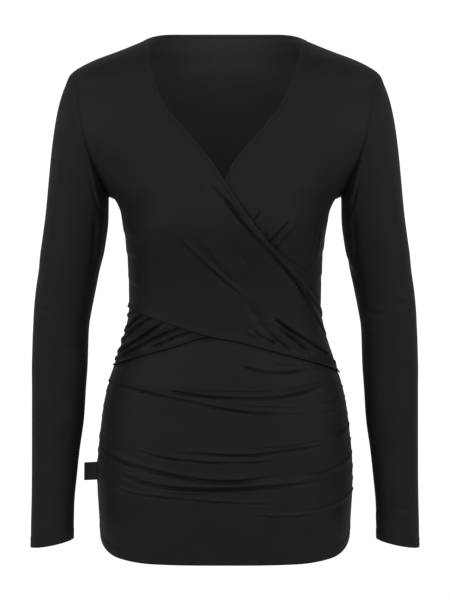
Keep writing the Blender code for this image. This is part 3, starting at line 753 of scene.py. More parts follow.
underWrap = {
    "sign": 1,
    "seamRows": 24,
    "farRows": 14,
    "columns": 26,
    "finer": 7,
    "hemDepth": 5.0,
    "hemFlare": 1.7,
    "stitchLines": (3.6,),
    # from the neck point on +X to the seam on -X
    "neckline": np.array([
        (90, 15.6), (65, 11.5), (46.5, 1.5), (37.5, -7.0), (31.0, -16.0), (26.8, -27.5),
        (24.2, -39.0), (22.2, -51.5), (19.8, -64.0), (17.1, -77.0), (14.3, -89.5), (11.7, -102.0),
        (6.1, -127.0), (2.4, -146.0), (-0.4, -164.0), (-13.4, -208.0), (-25.0, -238.0),
        (-40.0, -266.0), (-63.0, -299.0), (-90.0, -322.0),
    ]),
    "hem": np.array([
        (-90, -408.0), (-77.6, -404.0), (-51.0, -389.5), (-28.0, -375.0), (-10.6, -362.0),
        (10.0, -352.0), (37.0, -349.0), (77.0, -353.0), (90.0, -354.0),
    ]),
    "folds": [
        # gathers at the far seam, below the outer wrap's edge
        fold(3.4, 1.8, 1.3, [(-90, -347), (-80, -339), (-71, -332), (-62, -325)], 0.0, 0.15),
        fold(3.6, 1.7, 2.2, [(-90, -366), (-77, -356), (-65, -342), (-55, -331)], 0.0, 0.12),
        fold(3.8, 1.7, 2.3, [(-90, -381), (-80, -372), (-67, -358), (-57, -347),
             (-46, -335)], 0.0, 0.12),
        fold(3.9, 1.8, 2.4, [(-90, -395), (-80, -387), (-69, -379), (-58, -369), (-47, -355),
             (-36, -342)], 0.0, 0.12),
        fold(3.8, 1.7, 2.4, [(-90, -403), (-74, -393), (-63, -384), (-51, -373), (-38, -360),
             (-23, -348)], 0.0, 0.12),
        fold(2.8, 1.5, 1.6, [(-46, -378), (-36, -370), (-27, -361), (-16, -353)], 0.15, 0.15),
        fold(1.4, 1.2, 0.9, [(-76, -398), (-60, -388), (-44, -382)], 0.3, 0.3),
        # small pleats above the crossing's band
        fold(2.8, 1.4, -1.2, [(19, -203), (16, -212), (15, -220), (16, -229)], 0.2, 0.05),
        fold(3.1, 1.6, -1.4, [(37, -214), (31, -227), (26, -239), (23, -247)], 0.15, 0.05),
        fold(2.7, 1.4, -1.3, [(42, -221), (36, -234), (31, -246), (27, -255)], 0.15, 0.05),
        fold(2.0, 4.0, 0.3, [(25, -208), (24, -222), (25, -240)], 0.35, 0.2),
        fold(1.4, 1.4, -0.9, [(52, -279), (45, -270), (39, -262)], 0.3, 0.3),
        fold(1.6, 1.5, -1.0, [(61, -289), (53, -279), (46, -269)], 0.3, 0.3),
        # upright ones towards the own side seam
        fold(1.7, 2.2, -1.1, [(60, -224), (59, -244), (55, -267)], 0.35, 0.25),
        fold(1.3, 2.4, 0.8, [(69, -222), (68, -246), (66, -268)], 0.35, 0.35),
        fold(0.9, 1.8, 0.4, [(3, -152), (3, -164), (1, -177)], 0.35, 0.2),
        fold(0.7, 4.5, 0.4, [(66, -262), (78, -258), (90, -258)], 0.5, 0.0),
        fold(0.7, 4.0, 0.4, [(68, -300), (78, -292), (90, -290)], 0.5, 0.0),
    ],
}


def ownSide(panel, hemHeight):
    sign = panel["sign"]
    finer = panel["finer"]
    table = form["armhole"]
    armhole = indexed(table, np.linspace(0, len(table) - 1, (len(table) - 1) * finer + 1))
    edge = np.stack([sign * armhole[:, 1], armhole[:, 0]], -1)
    edge = shiftInto(edge, -sign, cloth["seamGap"] / 2)
    count = panel["seamRows"] * finer
    seamHeights = np.linspace(form["underarm"], hemHeight, count + 1)[1:]
    return np.concatenate([edge, np.stack([np.full(count, sign * 90.0), seamHeights], -1)])


def wrapSpots(panel):
    sign = panel["sign"]
    finer = panel["finer"]
    farRows = panel["farRows"] * finer
    neckRows = (len(form["armhole"]) - 1 + panel["seamRows"] - panel["farRows"]) * finer
    edge = runAlong(panel["neckline"], np.linspace(0, 1, neckRows + 1) ** wrapShape["neckCloseness"])
    panelEdge = runToSeams(shiftInto(edge, sign, tape["width"]))
    seamHeights = np.linspace(panelEdge[-1, 1], heightOn(panel["hem"], -sign * 90.0), farRows + 1)[1:]
    farSeam = np.stack([np.full(farRows, -sign * 90.0), seamHeights], -1)
    far = np.concatenate([panelEdge, farSeam])
    own = ownSide(panel, heightOn(panel["hem"], sign * 90.0))
    even = np.linspace(0, 1, panel["columns"] * finer + 1)
    across = even + wrapShape["closerFar"] * even * (1 - even)
    spots = own[:, None] + (far - own)[:, None] * across[None, :, None]
    rows = len(own)
    down = np.arange(rows)
    fromFar = (1 - across) / wrapShape["bowPeak"]
    bow = wrapShape["rowBow"] * fromFar * np.exp(1 - fromFar)
    bowIn = ease(down / (rows - 1 - farRows))
    bowOut = np.clip((rows - 1 - down) / farRows, 0, 1) ** wrapShape["bowFade"]
    spots[:, :, 1] += (bowIn * bowOut)[:, None] * bow[None]
    correction = heightOn(panel["hem"], spots[-1, :, 0]) - spots[-1, :, 1]
    spots[:, :, 1] += (down / (rows - 1))[:, None] ** wrapShape["hemPull"] * correction[None]
    return insetFromSeams(spots), insetFromSeams(edge), neckRows


wrapShape = {
    "neckCloseness": 1.1,
    "closerFar": 0.4,          # columns lie this much closer towards the far seam
    "rowBow": 9.0,             # rows bow upward beside the far seam
    "bowPeak": 0.25,
    "bowFade": 0.7,
    "hemPull": 3,              # the lowest rows follow the hem
}

tape = {
    "width": 4.5,
    "proud": 0.30,
    "stitchAt": 0.24,
    "stitchSink": 0.12,
    "gap": 0.06,
    "insideLineBelow": 0.3,    # the dark seam line inside the back neck
    "insideLineProud": 0.1,
    # its section, from its seam round the fold and back: share of the width, height
    "top": [(0.0, -0.5), (0.04, -0.2), (0.12, -0.06), (0.24, -0.08), (0.4, 0.04), (0.7, 0.06), (0.86, 0.0)],
    "bend": [(0.95, -0.25), (1.0, -0.7), (0.95, -1.2)],
    "under": [(0.7, -1.5), (0.4, -1.5), (0.1, -1.5), (0.0, -1.1)],
}


def outerLift(angle, height):
    return foldLift(outerWrap["folds"], angle, height)


def underOuter(angle, height):
    aboveHem = height - heightOn(outerWrap["hem"], angle)
    belowNeckline = heightOn(outerWrap["neckline"], angle) - height
    return np.minimum(aboveHem, belowNeckline)         # how far within the outer wrap's edges


def underLift(angle, height):
    covered, sunk = sunkUnder(underOuter(angle, height), outerLift(angle, height))
    own = foldLift(underWrap["folds"], angle, height)
    return np.where(own > 0, own * (1 - covered), own) + sunk


# a folded tape round an edge, from the panel's edge out to the fold and back beneath
def tapeObject(name, edge, lift, sign, toSeams):
    inside = shiftInto(edge, sign, tape["width"] - tape["gap"])
    if toSeams:
        inside = runToSeams(inside)
    firstInside = len(tape["top"]) + len(tape["bend"]) - 1
    rows = []
    for share, rise in tape["top"] + tape["bend"] + tape["under"]:
        spots = inside + (edge - inside) * share
        rows.append(placed(spots, lift + tape["proud"] + rise))
    rings = np.stack(rows, 1)
    length = lengthsAlong(edge)
    count, around = rings.shape[:2]
    data = bpy.data.meshes.new(name)
    data.from_pydata((rings.reshape(-1, 3) * mm).tolist(), [], barFaces(0, count, around))
    layer = data.uv_layers.new(name="grain")
    for polygon in data.polygons:
        for corner in polygon.loop_indices:
            vertex = data.loops[corner].vertex_index
            layer.data[corner].uv = (length[vertex // around], float(vertex % around))
    data.materials.append(tapeJerseyPaintedHighlight)
    # the tape's under side takes the inside material, with its painted light
    data.materials.append(jerseyInsidePaintedLight)
    inward = [int(firstInside <= j < around - 1) for j in range(around)]
    data.polygons.foreach_set("material_index", inward * (count - 1) + [0, 0])
    stitchSpots = inside + (edge - inside) * tape["stitchAt"]
    line = placed(stitchSpots, lift + tape["proud"] - tape["stitchSink"])
    return finishMesh(name, data), (line, outward(*split(stitchSpots)))


def makeWrap(name, panel, liftOf):
    spots, edge, neckRows = wrapSpots(panel)
    lift = liftOf(*split(spots))
    rows = np.arange(len(spots))[:, None]
    farShare = ease((rows - neckRows) / panel["finer"])
    rolls = [("first", seamDepth(spots[..., 1])), ("last", farShare), ("top", cloth["flatSeam"])]
    outer, inner, normal, lift = panelGrids(spots, lift, rolls, panel)
    piece = shellObject(name + "_cloth", outer, inner, grainOf(spots), [jersey, jerseyInsidePaintedLight])
    dress(piece, name)
    tapeLift = lift[:neckRows + 1, -1]
    binding, tapeLine = tapeObject(name + "_tape", edge, tapeLift, panel["sign"], True)
    dress(binding, name + "_binding")
    return piece, binding, addStitching(name, panel, outer, normal, [tapeLine])


outerPieces = makeWrap("outer_wrap", outerWrap, outerLift)
underPieces = makeWrap("under_wrap", underWrap, underLift)
print("wraps done")


# The lower front, ruched at both side seams

lowerFront = {
    "top": -335.0,
    "rows": 362,
    "columns": 132,
    "hemDepth": 12.0,
    "stitchLines": (10.6, 12.6),
    "foldShare": 0.88,         # how much of the depths below is used
    # the bottom hem: angle from the front or back, height in front, height behind
    "hem": np.array([
        (0, -652.5, -656.0),
        (36, -653.0, -655.0),
        (52, -651.0, -652.5),
        (62, -648.5, -649.5),
        (73, -642.0, -642.0),
        (82, -634.0, -634.0),
        (90, -626.0, -626.0),
    ]),
    "folds": [
        # beneath the outer wrap's edge
        fold(2.6, 1.3, 1.0, [(6, -396), (11, -401), (19, -406), (29, -408), (39, -407),
             (52, -402)], 0.15, 0.3),
        fold(1.0, 1.0, 0.4, [(24, -397), (34, -399), (44, -399)], 0.3, 0.3),
        # the first swag: a roll between two lines, left end to right end
        fold(1.1, 0.9, 0.4, [(-30, -424), (-17, -428), (0, -431), (18, -432), (34, -428), (50, -423),
             (66, -421)], 0.3, 0.2),
        fold(3.0, 1.5, 2.0, [(-32, -430), (-22, -432), (-12, -436), (3, -439), (18, -440), (30, -438),
             (40, -433), (55, -427), (66, -422)], 0.12, 0.3),
        # the second, from the left seam
        fold(2.6, 1.4, 1.9, [(-90, -430), (-76, -427), (-63, -426), (-51, -429), (-35, -435),
             (-20, -442), (-6, -450), (9, -457), (24, -460), (44, -462)], 0.0, 0.25),
        fold(0.9, 1.0, 0.4, [(1, -448), (15, -450), (32, -452), (46, -452)]),
        fold(1.3, 1.2, -0.9, [(48, -452), (60, -451), (69, -448), (82, -446), (90, -445)], 0.4, 0.0),
        fold(1.0, 1.5, 0.7, [(46, -462), (60, -460), (74, -459), (90, -458)], 0.4, 0.0),
        # the middle swags
        fold(2.4, 1.3, 1.8, [(-46, -507), (-34, -512), (-22, -517), (-8, -520), (8, -521), (20, -519),
             (31, -517)], 0.2, 0.3),
        fold(2.8, 1.4, 1.9, [(-22, -510), (-13, -508), (-2, -511), (12, -511), (25, -507), (39, -504),
             (53, -502)], 0.15, 0.3),
        fold(1.0, 0.9, 0.4, [(3, -505), (16, -503), (30, -501), (44, -497), (58, -493)], 0.3, 0.3),
        # the deep pair across the middle
        fold(4.1, 2.1, 1.6, [(-90, -500), (-82, -503), (-71, -512), (-57, -520), (-42, -528),
             (-32, -532), (-22, -538), (-10, -543), (3, -545), (14, -542), (26, -536)], 0.0, 0.2),
        fold(4.8, 2.3, 3.1, [(-56, -538), (-43, -545), (-32, -550), (-20, -554), (-2, -554), (14, -552),
             (30, -550), (50, -547)], 0.2, 0.3),
        fold(1.0, 1.0, 0.8, [(-46, -540), (-38, -542), (-30, -543)], 0.3, 0.3),
        # the flatter ones below
        fold(2.2, 1.4, 1.5, [(-60, -553), (-53, -560), (-44, -564), (-32, -565), (-20, -567),
             (-8, -570), (8, -573), (30, -574)], 0.15, 0.35),
        fold(1.6, 1.1, 0.7, [(-27, -560), (-14, -561), (-1, -561)], 0.3, 0.3),
        fold(2.1, 1.4, 1.4, [(10, -588), (19, -590), (33, -591), (46, -589)], 0.3, 0.3),
        fold(2.1, 1.3, -1.4, [(35, -587), (47, -585), (57, -580), (66, -575), (76, -569),
             (90, -566)], 0.3, 0.0),
        # tucks at the seam on +X
        fold(2.2, 1.5, -1.4, [(32, -541), (44, -540), (54, -537), (63, -531), (71, -526), (80, -520),
             (90, -517)], 0.35, 0.0),
        fold(2.2, 1.4, -1.4, [(54, -494), (63, -493), (72, -489), (81, -484), (90, -480)], 0.4, 0.0),
        fold(1.3, 1.3, 0.7, [(64, -479), (74, -476), (90, -471)], 0.4, 0.0),
        fold(1.1, 1.3, 0.8, [(90, -432), (80, -434), (68, -440)], 0.0, 0.6),
        fold(1.3, 1.3, 0.8, [(90, -500), (80, -505), (70, -511)], 0.0, 0.6),
        fold(1.4, 1.4, 0.8, [(90, -534), (80, -540), (70, -548)], 0.0, 0.6),
        fold(1.1, 1.3, 0.7, [(90, -550), (82, -555), (73, -562)], 0.0, 0.6),
        # tucks at the seam on -X
        fold(0.9, 1.2, 0.7, [(-90, -441), (-80, -444), (-66, -446)], 0.0, 0.6),
        fold(1.1, 1.2, 0.7, [(-90, -460), (-76, -466), (-62, -471)], 0.0, 0.6),
        fold(0.9, 1.2, 0.5, [(-90, -474), (-80, -478), (-68, -484)], 0.0, 0.6),
        fold(1.0, 1.2, 0.8, [(-84, -488), (-65, -499), (-55, -506)], 0.3, 0.5),
        fold(1.4, 1.3, 0.9, [(-90, -532), (-80, -538), (-69, -545), (-57, -552)], 0.0, 0.4),
        fold(1.1, 1.3, 0.8, [(-90, -517), (-78, -526), (-64, -534)], 0.0, 0.5),
        fold(1.0, 1.3, 0.7, [(-90, -556), (-80, -563), (-70, -571)], 0.0, 0.6),
    ],
}


def lowerLift(angle, height):
    outerSpot = outerLift(angle, height)
    underSpot = foldLift(underWrap["folds"], angle, height)
    byOuter, sunkByOuter = sunkUnder(underOuter(angle, height), outerSpot)
    byUnder, sunkByUnder = sunkUnder(height - heightOn(underWrap["hem"], angle), underSpot)
    covered = np.maximum(byOuter, byUnder)
    own = lowerFront["foldShare"] * foldLift(lowerFront["folds"], angle, height)
    return np.where(own > 0, own * (1 - covered), own) + sunkByOuter + sunkByUnder


def makeLowerFront():
    angles = np.linspace(-90, 90, lowerFront["columns"] + 1)
    hem = flow(lowerFront["hem"][:, 0], lowerFront["hem"][:, 1], np.abs(angles))
    shares = np.linspace(0, 1, lowerFront["rows"] + 1)
    heights = lowerFront["top"] + (hem - lowerFront["top"])[None] * shares[:, None]
    spots = insetFromSeams(np.stack([np.broadcast_to(angles, heights.shape), heights], -1))
    rolls = [("first", 1.0), ("last", 1.0)]
    outer, inner, normal = panelGrids(spots, lowerLift(*split(spots)), rolls, lowerFront)[:3]
    piece = shellObject("lower_front_cloth", outer, inner, grainOf(spots), [jersey, jerseyInsidePaintedLight])
    dress(piece, "lower_front")
    stitches = addStitching("lower_front", lowerFront, outer, normal)


makeLowerFront()
print("lower front done")


# The back: rows run from armhole to armhole and from seam to seam

back = {
    "columns": 22,
    "finerColumns": 6,
    "armholeFiner": 6,
    "seamRows": 14,
    "seamFiner": 12,
    "neckShapedRows": 7,
    "shoulderRamp": 4,         # columns over which the shoulder seam's roll dies away
    "hemPull": 2,              # the lower rows follow the hem
    "hemDepth": 12.0,
    "stitchLines": (10.6, 12.6),
    # angle from the back, height
    "neck": np.array([
        (90, 15.6), (75, 19.5), (60, 22.0), (30, 23.2), (0, 23.4),
    ]),
    "folds": [
        # cloth that rests on the waist
        fold(1.3, 4.0, 0.7, [(118, -302), (140, -316), (165, -322), (190, -318)], 0.3, 0.4),
        fold(1.5, 4.5, 0.8, [(150, -346), (178, -352), (206, -347), (232, -334)], 0.3, 0.3),
        fold(1.0, 4.0, 0.5, [(104, -340), (122, -352), (146, -366)], 0.3, 0.5),
        fold(1.0, 4.0, 0.5, [(200, -374), (224, -366), (250, -348)], 0.5, 0.3),
        fold(0.7, 6.0, 0.4, [(128, -132), (140, -160), (146, -196)], 0.3, 0.5),
        fold(0.7, 6.0, 0.4, [(214, -200), (221, -164), (233, -130)], 0.5, 0.3),
        # ruching at the side seams
        fold(1.5, 2.2, 0.8, [(90, -414), (104, -420), (124, -428), (150, -432)], 0.0, 0.6),
        fold(1.7, 2.4, 0.9, [(90, -447), (106, -454), (130, -462), (158, -464)], 0.0, 0.5),
        fold(1.2, 2.2, 0.6, [(90, -466), (102, -474), (118, -482)], 0.0, 0.6),
        fold(1.6, 2.4, 0.8, [(90, -484), (108, -494), (136, -504), (166, -508)], 0.0, 0.5),
        fold(1.4, 2.2, 0.7, [(90, -519), (106, -526), (126, -534), (146, -538)], 0.0, 0.6),
        fold(1.2, 2.2, 0.6, [(90, -548), (104, -556), (122, -562)], 0.0, 0.6),
        fold(1.4, 2.2, 0.7, [(214, -440), (238, -436), (256, -430), (270, -428)], 0.6, 0.0),
        fold(1.2, 2.2, 0.6, [(244, -452), (258, -446), (270, -440)], 0.6, 0.0),
        fold(1.7, 2.4, 0.9, [(204, -476), (232, -472), (254, -464), (270, -456)], 0.5, 0.0),
        fold(1.3, 2.2, 0.7, [(236, -496), (256, -490), (270, -486)], 0.6, 0.0),
        fold(1.6, 2.4, 0.8, [(198, -524), (230, -520), (254, -510), (270, -500)], 0.5, 0.0),
        fold(1.3, 2.2, 0.6, [(240, -544), (256, -538), (270, -532)], 0.6, 0.0),
    ],
}


def backTopEdge():
    columns = back["columns"]
    finer = back["finerColumns"]
    sideColumns = columns // 4 * finer
    neckColumns = (columns // 2 - columns // 4) * finer
    heights = np.linspace(form["shoulderTip"], form["neckPoint"], sideColumns + 1)
    shoulder = np.stack([np.full(sideColumns + 1, 90.0), heights], -1)
    neckAngles = np.linspace(90, 0, neckColumns + 1)[1:]
    neckHeights = flow(back["neck"][::-1, 0], back["neck"][::-1, 1], neckAngles)
    half = np.concatenate([shoulder, np.stack([180 - neckAngles, neckHeights], -1)])
    other = half[:-1][::-1].copy()
    other[:, 0] = 360 - other[:, 0]
    return np.concatenate([half, other]), sideColumns


def backSpots(top, neck):
    panelTop = top.copy()
    panelTop[neck] = shiftInto(top[neck], -1, tape["width"])
    table = form["armhole"]
    armholeUnits = len(table) - 1
    armholeAt = np.linspace(0, armholeUnits, armholeUnits * back["armholeFiner"] + 1)
    armhole = indexed(table, armholeAt)
    edge = shiftInto(np.stack([180 - armhole[:, 2], armhole[:, 0]], -1), 1, cloth["seamGap"] / 2)
    seamCount = back["seamRows"] * back["seamFiner"]
    seamAt = armholeUnits + back["seamRows"] * np.linspace(0, 1, seamCount + 1)[1:]
    seamHeights = np.linspace(form["underarm"], lowerFront["hem"][-1, 2], seamCount + 1)[1:]
    left = np.concatenate([edge, np.stack([np.full(seamCount, 90.0), seamHeights], -1)])
    rowAt = np.concatenate([armholeAt, seamAt])
    right = left.copy()
    right[:, 0] = 360 - left[:, 0]
    across = np.linspace(0, 1, back["columns"] * back["finerColumns"] + 1)
    spots = left[:, None] + (right - left)[:, None] * across[None, :, None]
    topShare = (1 - ease(rowAt / back["neckShapedRows"]))[:, None, None]
    spots += topShare * (panelTop - spots[0])[None]
    hem = flow(lowerFront["hem"][:, 0], lowerFront["hem"][:, 2], np.abs(spots[-1, :, 0] - 180))
    belowArmhole = np.clip(rowAt - armholeUnits - 1, 0, None)
    hemShare = (belowArmhole / belowArmhole[-1]) ** back["hemPull"]
    spots[:, :, 1] += hemShare[:, None] * (hem - spots[-1, :, 1])[None]
    return insetFromSeams(spots, 180.0, 3)


def makeBack():
    top, sideColumns = backTopEdge()
    neck = slice(sideColumns, len(top) - sideColumns)
    spots = backSpots(top, neck)
    lift = foldLift(back["folds"], *split(spots))
    columns = np.arange(len(top))
    fromSide = np.minimum(columns, len(top) - 1 - columns) - sideColumns
    shoulderShare = 1 - ease(fromSide / back["shoulderRamp"] + 0.5)
    armholeShare = seamDepth(spots[..., 1])
    rolls = [("first", armholeShare), ("last", armholeShare),
             ("top", cloth["flatSeam"] * shoulderShare[None, :])]
    outer, inner, normal = panelGrids(spots, lift, rolls, back)[:3]
    piece = shellObject("back_cloth", outer, inner, grainOf(spots), [jersey, jerseyInsidePaintedLight])
    dress(piece, "back")
    neckEdge = insetFromSeams(top[neck], 180.0, 3)
    binding, tapeLine = tapeObject("back_neck_tape", neckEdge, np.zeros(len(neckEdge)), -1, False)
    dress(binding, "back_neck_binding")
    below = shiftInto(neckEdge, -1, tape["width"] + tape["insideLineBelow"])
    insideLine = placed(below, -(cloth["thickness"] + tape["insideLineProud"]))
    others = [tapeLine, (insideLine, -outward(*split(below)))]
    stitches = addStitching("back", back, outer, normal, others)


makeBack()
print("back done")


# The sleeves: a cap eased into the armhole, then rings down the arm

sleeve = {
    "around": 96,
    "capRows": 70,
    "armRows": 200,
    "startPull": 0.22,
    "endPull": 0.30,
    "smoothings": 90,
    # rows over which the rounding off, and the cloth put forward, come in and die away
    "roundedIn": 9,
    "roundedFrom": 10,
    "roundedOut": 30,
    "fillIn": 12,
    # cloth that stands forward beside the underarm: middle, reach before, reach after
    "fillTurn": (138.0, 30.0, 26.0),
    "fillHeight": (-185.0, 45.0, 38.0),
    "fillForward": 7.0,
    "capAcross": 0.6,
    "underarmClearance": 0.2,
    "armDirection": np.array([0.16, 0.0, -0.99]),
    "hemDepth": 12.0,
    "stitchLines": (10.6, 12.6),
    # height, centre out, centre forward or back, half width, half depth, rise of the inner edge
    "rings": np.array([
        (-231, 193.7, 1.0, 41.6, 48.0, 0.0),
        (-257, 197.6, 0.5, 41.6, 46.5, 0.0),
        (-283, 202.2, 0.0, 39.7, 44.5, 0.0),
        (-309, 206.7, -1.0, 39.0, 42.5, 0.0),
        (-335, 210.6, -2.0, 37.7, 41.0, 0.0),
        (-361, 213.2, -3.5, 36.4, 39.5, 0.0),
        (-400, 214.5, -6.0, 36.4, 38.0, 0.0),
        (-439, 215.8, -9.0, 35.1, 36.5, 0.0),
        (-478, 217.1, -12.0, 33.8, 35.0, 0.0),
        (-517, 219.7, -15.0, 31.2, 33.0, 2.0),
        (-556, 221.7, -18.5, 29.3, 31.5, 5.0),
        (-595, 223.6, -22.0, 28.0, 30.5, 8.0),
        (-641, 224.3, -26.0, 28.0, 30.0, 11.0),
    ]),
    "mmPerDegree": 0.62,
    "grainWidening": 1.3,      # the knit is a little wider round the arm than at the cuff
    # turn 0 is the outer side, 90 the front, 180 the inner side, 270 the back
    "folds": {
        "sleeve_left": [
            fold(2.0, 2.2, 1.0, [(114, -148), (126, -170), (138, -194), (148, -218)], 0.3, 0.4),
            fold(1.8, 3.2, 0.9, [(132, -196), (137, -226), (141, -256), (148, -290)], 0.35, 0.5),
            fold(0.8, 5.0, 0.5, [(206, -262), (160, -292), (126, -322)], 0.3, 0.6),
            fold(0.8, 3.6, 0.5, [(32, -314), (52, -322), (76, -322)], 0.4, 0.4),
            fold(0.9, 3.2, 0.6, [(88, -330), (116, -336), (146, -330)], 0.4, 0.4),
            fold(0.7, 3.4, 0.4, [(28, -340), (46, -347), (68, -350)], 0.4, 0.4),
            fold(0.7, 4.0, 0.4, [(104, -358), (140, -366), (176, -362)], 0.4, 0.5),
            fold(0.6, 4.0, 0.4, [(110, -584), (74, -592), (40, -590)], 0.4, 0.5),
            fold(0.6, 4.0, 0.4, [(240, -606), (206, -602), (170, -592)], 0.4, 0.5),
            fold(0.9, 6.0, 0.5, [(300, -330), (278, -352), (262, -384)], 0.4, 0.5),
            fold(1.0, 5.0, 0.6, [(250, -212), (262, -246), (280, -276)], 0.4, 0.5),
        ],
        "sleeve_right": [
            fold(2.2, 2.2, 1.1, [(112, -146), (122, -166), (134, -190), (146, -214)], 0.3, 0.4),
            fold(2.0, 3.0, 1.0, [(130, -200), (136, -232), (140, -262), (146, -296)], 0.3, 0.5),
            fold(0.8, 3.8, 0.6, [(22, -294), (36, -303), (56, -308)], 0.4, 0.5),
            fold(0.9, 3.4, 0.6, [(20, -316), (36, -325), (56, -331), (78, -330)], 0.4, 0.5),
            fold(0.8, 3.8, 0.5, [(24, -342), (40, -351), (60, -356)], 0.4, 0.5),
            fold(0.7, 4.0, 0.4, [(100, -372), (136, -380), (172, -374)], 0.4, 0.5),
            fold(0.6, 4.0, 0.4, [(96, -600), (60, -606), (28, -602)], 0.4, 0.5),
            fold(0.8, 6.0, 0.5, [(304, -338), (284, -362), (266, -390)], 0.4, 0.5),
            fold(1.0, 5.0, 0.6, [(246, -206), (258, -240), (276, -272)], 0.4, 0.5),
            fold(0.8, 4.5, 0.5, [(330, -300), (306, -312), (286, -334)], 0.4, 0.5),
        ],
    },
}


def sleeveRing(at, turns):
    ring = indexed(sleeve["rings"], at)
    height, centreOut, centreY, halfWidth, halfDepth, rise = (ring[..., k, None] for k in range(6))
    outShare = np.cos(turns)
    x = centreOut + halfWidth * outShare
    y = centreY - halfDepth * np.sin(turns)
    z = height + rise * (1 - outShare) / 2
    return np.stack([x, y, z], -1)


def sleeveSurface():
    table = form["armhole"]
    units = len(table) - 1
    count = sleeve["around"]
    turns = 2 * np.pi * np.arange(count) / count
    at = 2 * units * np.arange(count) / count
    inFront = at <= units
    spot = indexed(table, np.where(inFront, at, 2 * units - at))
    loop = np.stack([np.where(inFront, spot[:, 1], 180 - spot[:, 2]), spot[:, 0]], -1)
    padded = np.concatenate([loop[-2:], loop, loop[:2]])
    clearOfSeam = shiftInto(padded, 1, cloth["seamGap"] / 2)[2:-2]
    start = body(*split(clearOfSeam))
    formNormal = outward(*split(loop))
    roundIt, upIt = slopes(*split(loop))
    away = np.sin(turns)[:, None] * sleeve["capAcross"] * unit(roundIt)
    share = (np.cos(turns / 2) ** 2)[:, None]
    leaving = unit(share * unit(away - unit(upIt)) + (1 - share) * sleeve["armDirection"])
    start = start + formNormal * sleeve["underarmClearance"] * (1 - share)
    end = sleeveRing(0.0, turns)
    arriving = unit(end - sleeveRing(1.0, turns))
    reach = np.linalg.norm(end - start, axis=1)[:, None]
    firstPull = start + leaving * reach * sleeve["startPull"]
    lastPull = end + arriving * reach * sleeve["endPull"]
    along = np.linspace(0, 1, sleeve["capRows"] + 1)[:, None, None]
    rest = 1 - along
    cap = (rest ** 3 * start + 3 * rest ** 2 * along * firstPull
           + 3 * rest * along ** 2 * lastPull + along ** 3 * end)
    arm = sleeveRing(np.linspace(0, len(sleeve["rings"]) - 1, sleeve["armRows"] + 1)[1:], turns)
    whole = np.concatenate([cap, arm])
    rows = np.arange(len(whole))[:, None, None]
    belowCap = rows - sleeve["capRows"] - sleeve["roundedFrom"]
    share = ease(rows / sleeve["roundedIn"]) * (1 - ease(belowCap / sleeve["roundedOut"]))
    whole = whole + share * (smoothedTube(whole) - whole)
    inFill = bump(np.degrees(turns), *sleeve["fillTurn"]) * bump(whole[..., 2], *sleeve["fillHeight"])
    whole[..., 1] -= sleeve["fillForward"] * inFill * ease(rows[..., 0] / sleeve["fillIn"])
    return whole, formNormal * seamDepth(loop[:, 1])[:, None], turns


# rounds off ridges, then gives each ring its size back
def smoothedTube(grid):
    smooth = grid
    for _ in range(sleeve["smoothings"]):
        near = (np.roll(smooth, 1, 1) + np.roll(smooth, -1, 1)) / 2
        near[1:-1] = (near[1:-1] + (smooth[:-2] + smooth[2:]) / 2) / 2
        smooth = (smooth + near) / 2
    sizes = [np.linalg.norm(one - one.mean(1, keepdims=True), axis=-1).mean(1)[:, None, None]
             for one in (grid, smooth)]
    middle = smooth.mean(1, keepdims=True)
    return middle + (smooth - middle) * sizes[0] / sizes[1]


def gridOutward(grid):
    down = np.gradient(grid, axis=0)
    around = (np.roll(grid, -1, axis=1) - np.roll(grid, 1, axis=1)) / 2
    normal = unit(np.cross(down, around))
    fromMiddle = grid - grid.mean(axis=1, keepdims=True)
    return normal * np.sign(np.sum(normal[-1] * fromMiddle[-1], -1).mean())


def makeSleeves():
    base, formNormal, turns = sleeveSurface()
    base = base + formNormal[None] * sewnRoll(base, "top")[..., None]
    normal = gridOutward(base)
    degrees = np.broadcast_to(np.degrees(turns), base.shape[:2])
    hem = hemLift(base, sleeve)
    aroundMm = np.linalg.norm(np.diff(base[-1], axis=0), axis=1).mean()
    aroundGrain = np.arange(len(turns) + 1)[None, :] * aroundMm * sleeve["grainWidening"]
    grain = np.stack(np.broadcast_arrays(aroundGrain, -distanceFrom(base, "top")[:, :1]), -1)
    for name, sign in (("sleeve_left", 1), ("sleeve_right", -1)):
        mirror = np.array([sign, 1, 1])
        lift = hem + foldLift(sleeve["folds"][name], degrees, base[..., 2], sleeve["mmPerDegree"])
        outer = base + normal * lift[..., None]
        inner = outer - normal * cloth["thickness"]
        piece = shellObject(name + "_cloth", outer * mirror, inner * mirror, grain,
                            [jersey, jerseyInsidePaintedLight], tube=True)
        dress(piece, name)
        stitches = addStitching(name, sleeve, closed(outer) * mirror, closed(normal) * mirror)


makeSleeves()
print("sleeves done")


# The folded label in the side seam on -X, left bare

label = {
    "top": -535.0,
    "bottom": -558.0,
    "reach": 17.5,
    "plyThickness": 0.45,
    "gap": 0.25,
    "swing": 1.5,
    "slope": 0.06,
    "fromSeam": 0.3,
    "alongSteps": 16,
    "bendSteps": 9,
    "heightSteps": 24,
}


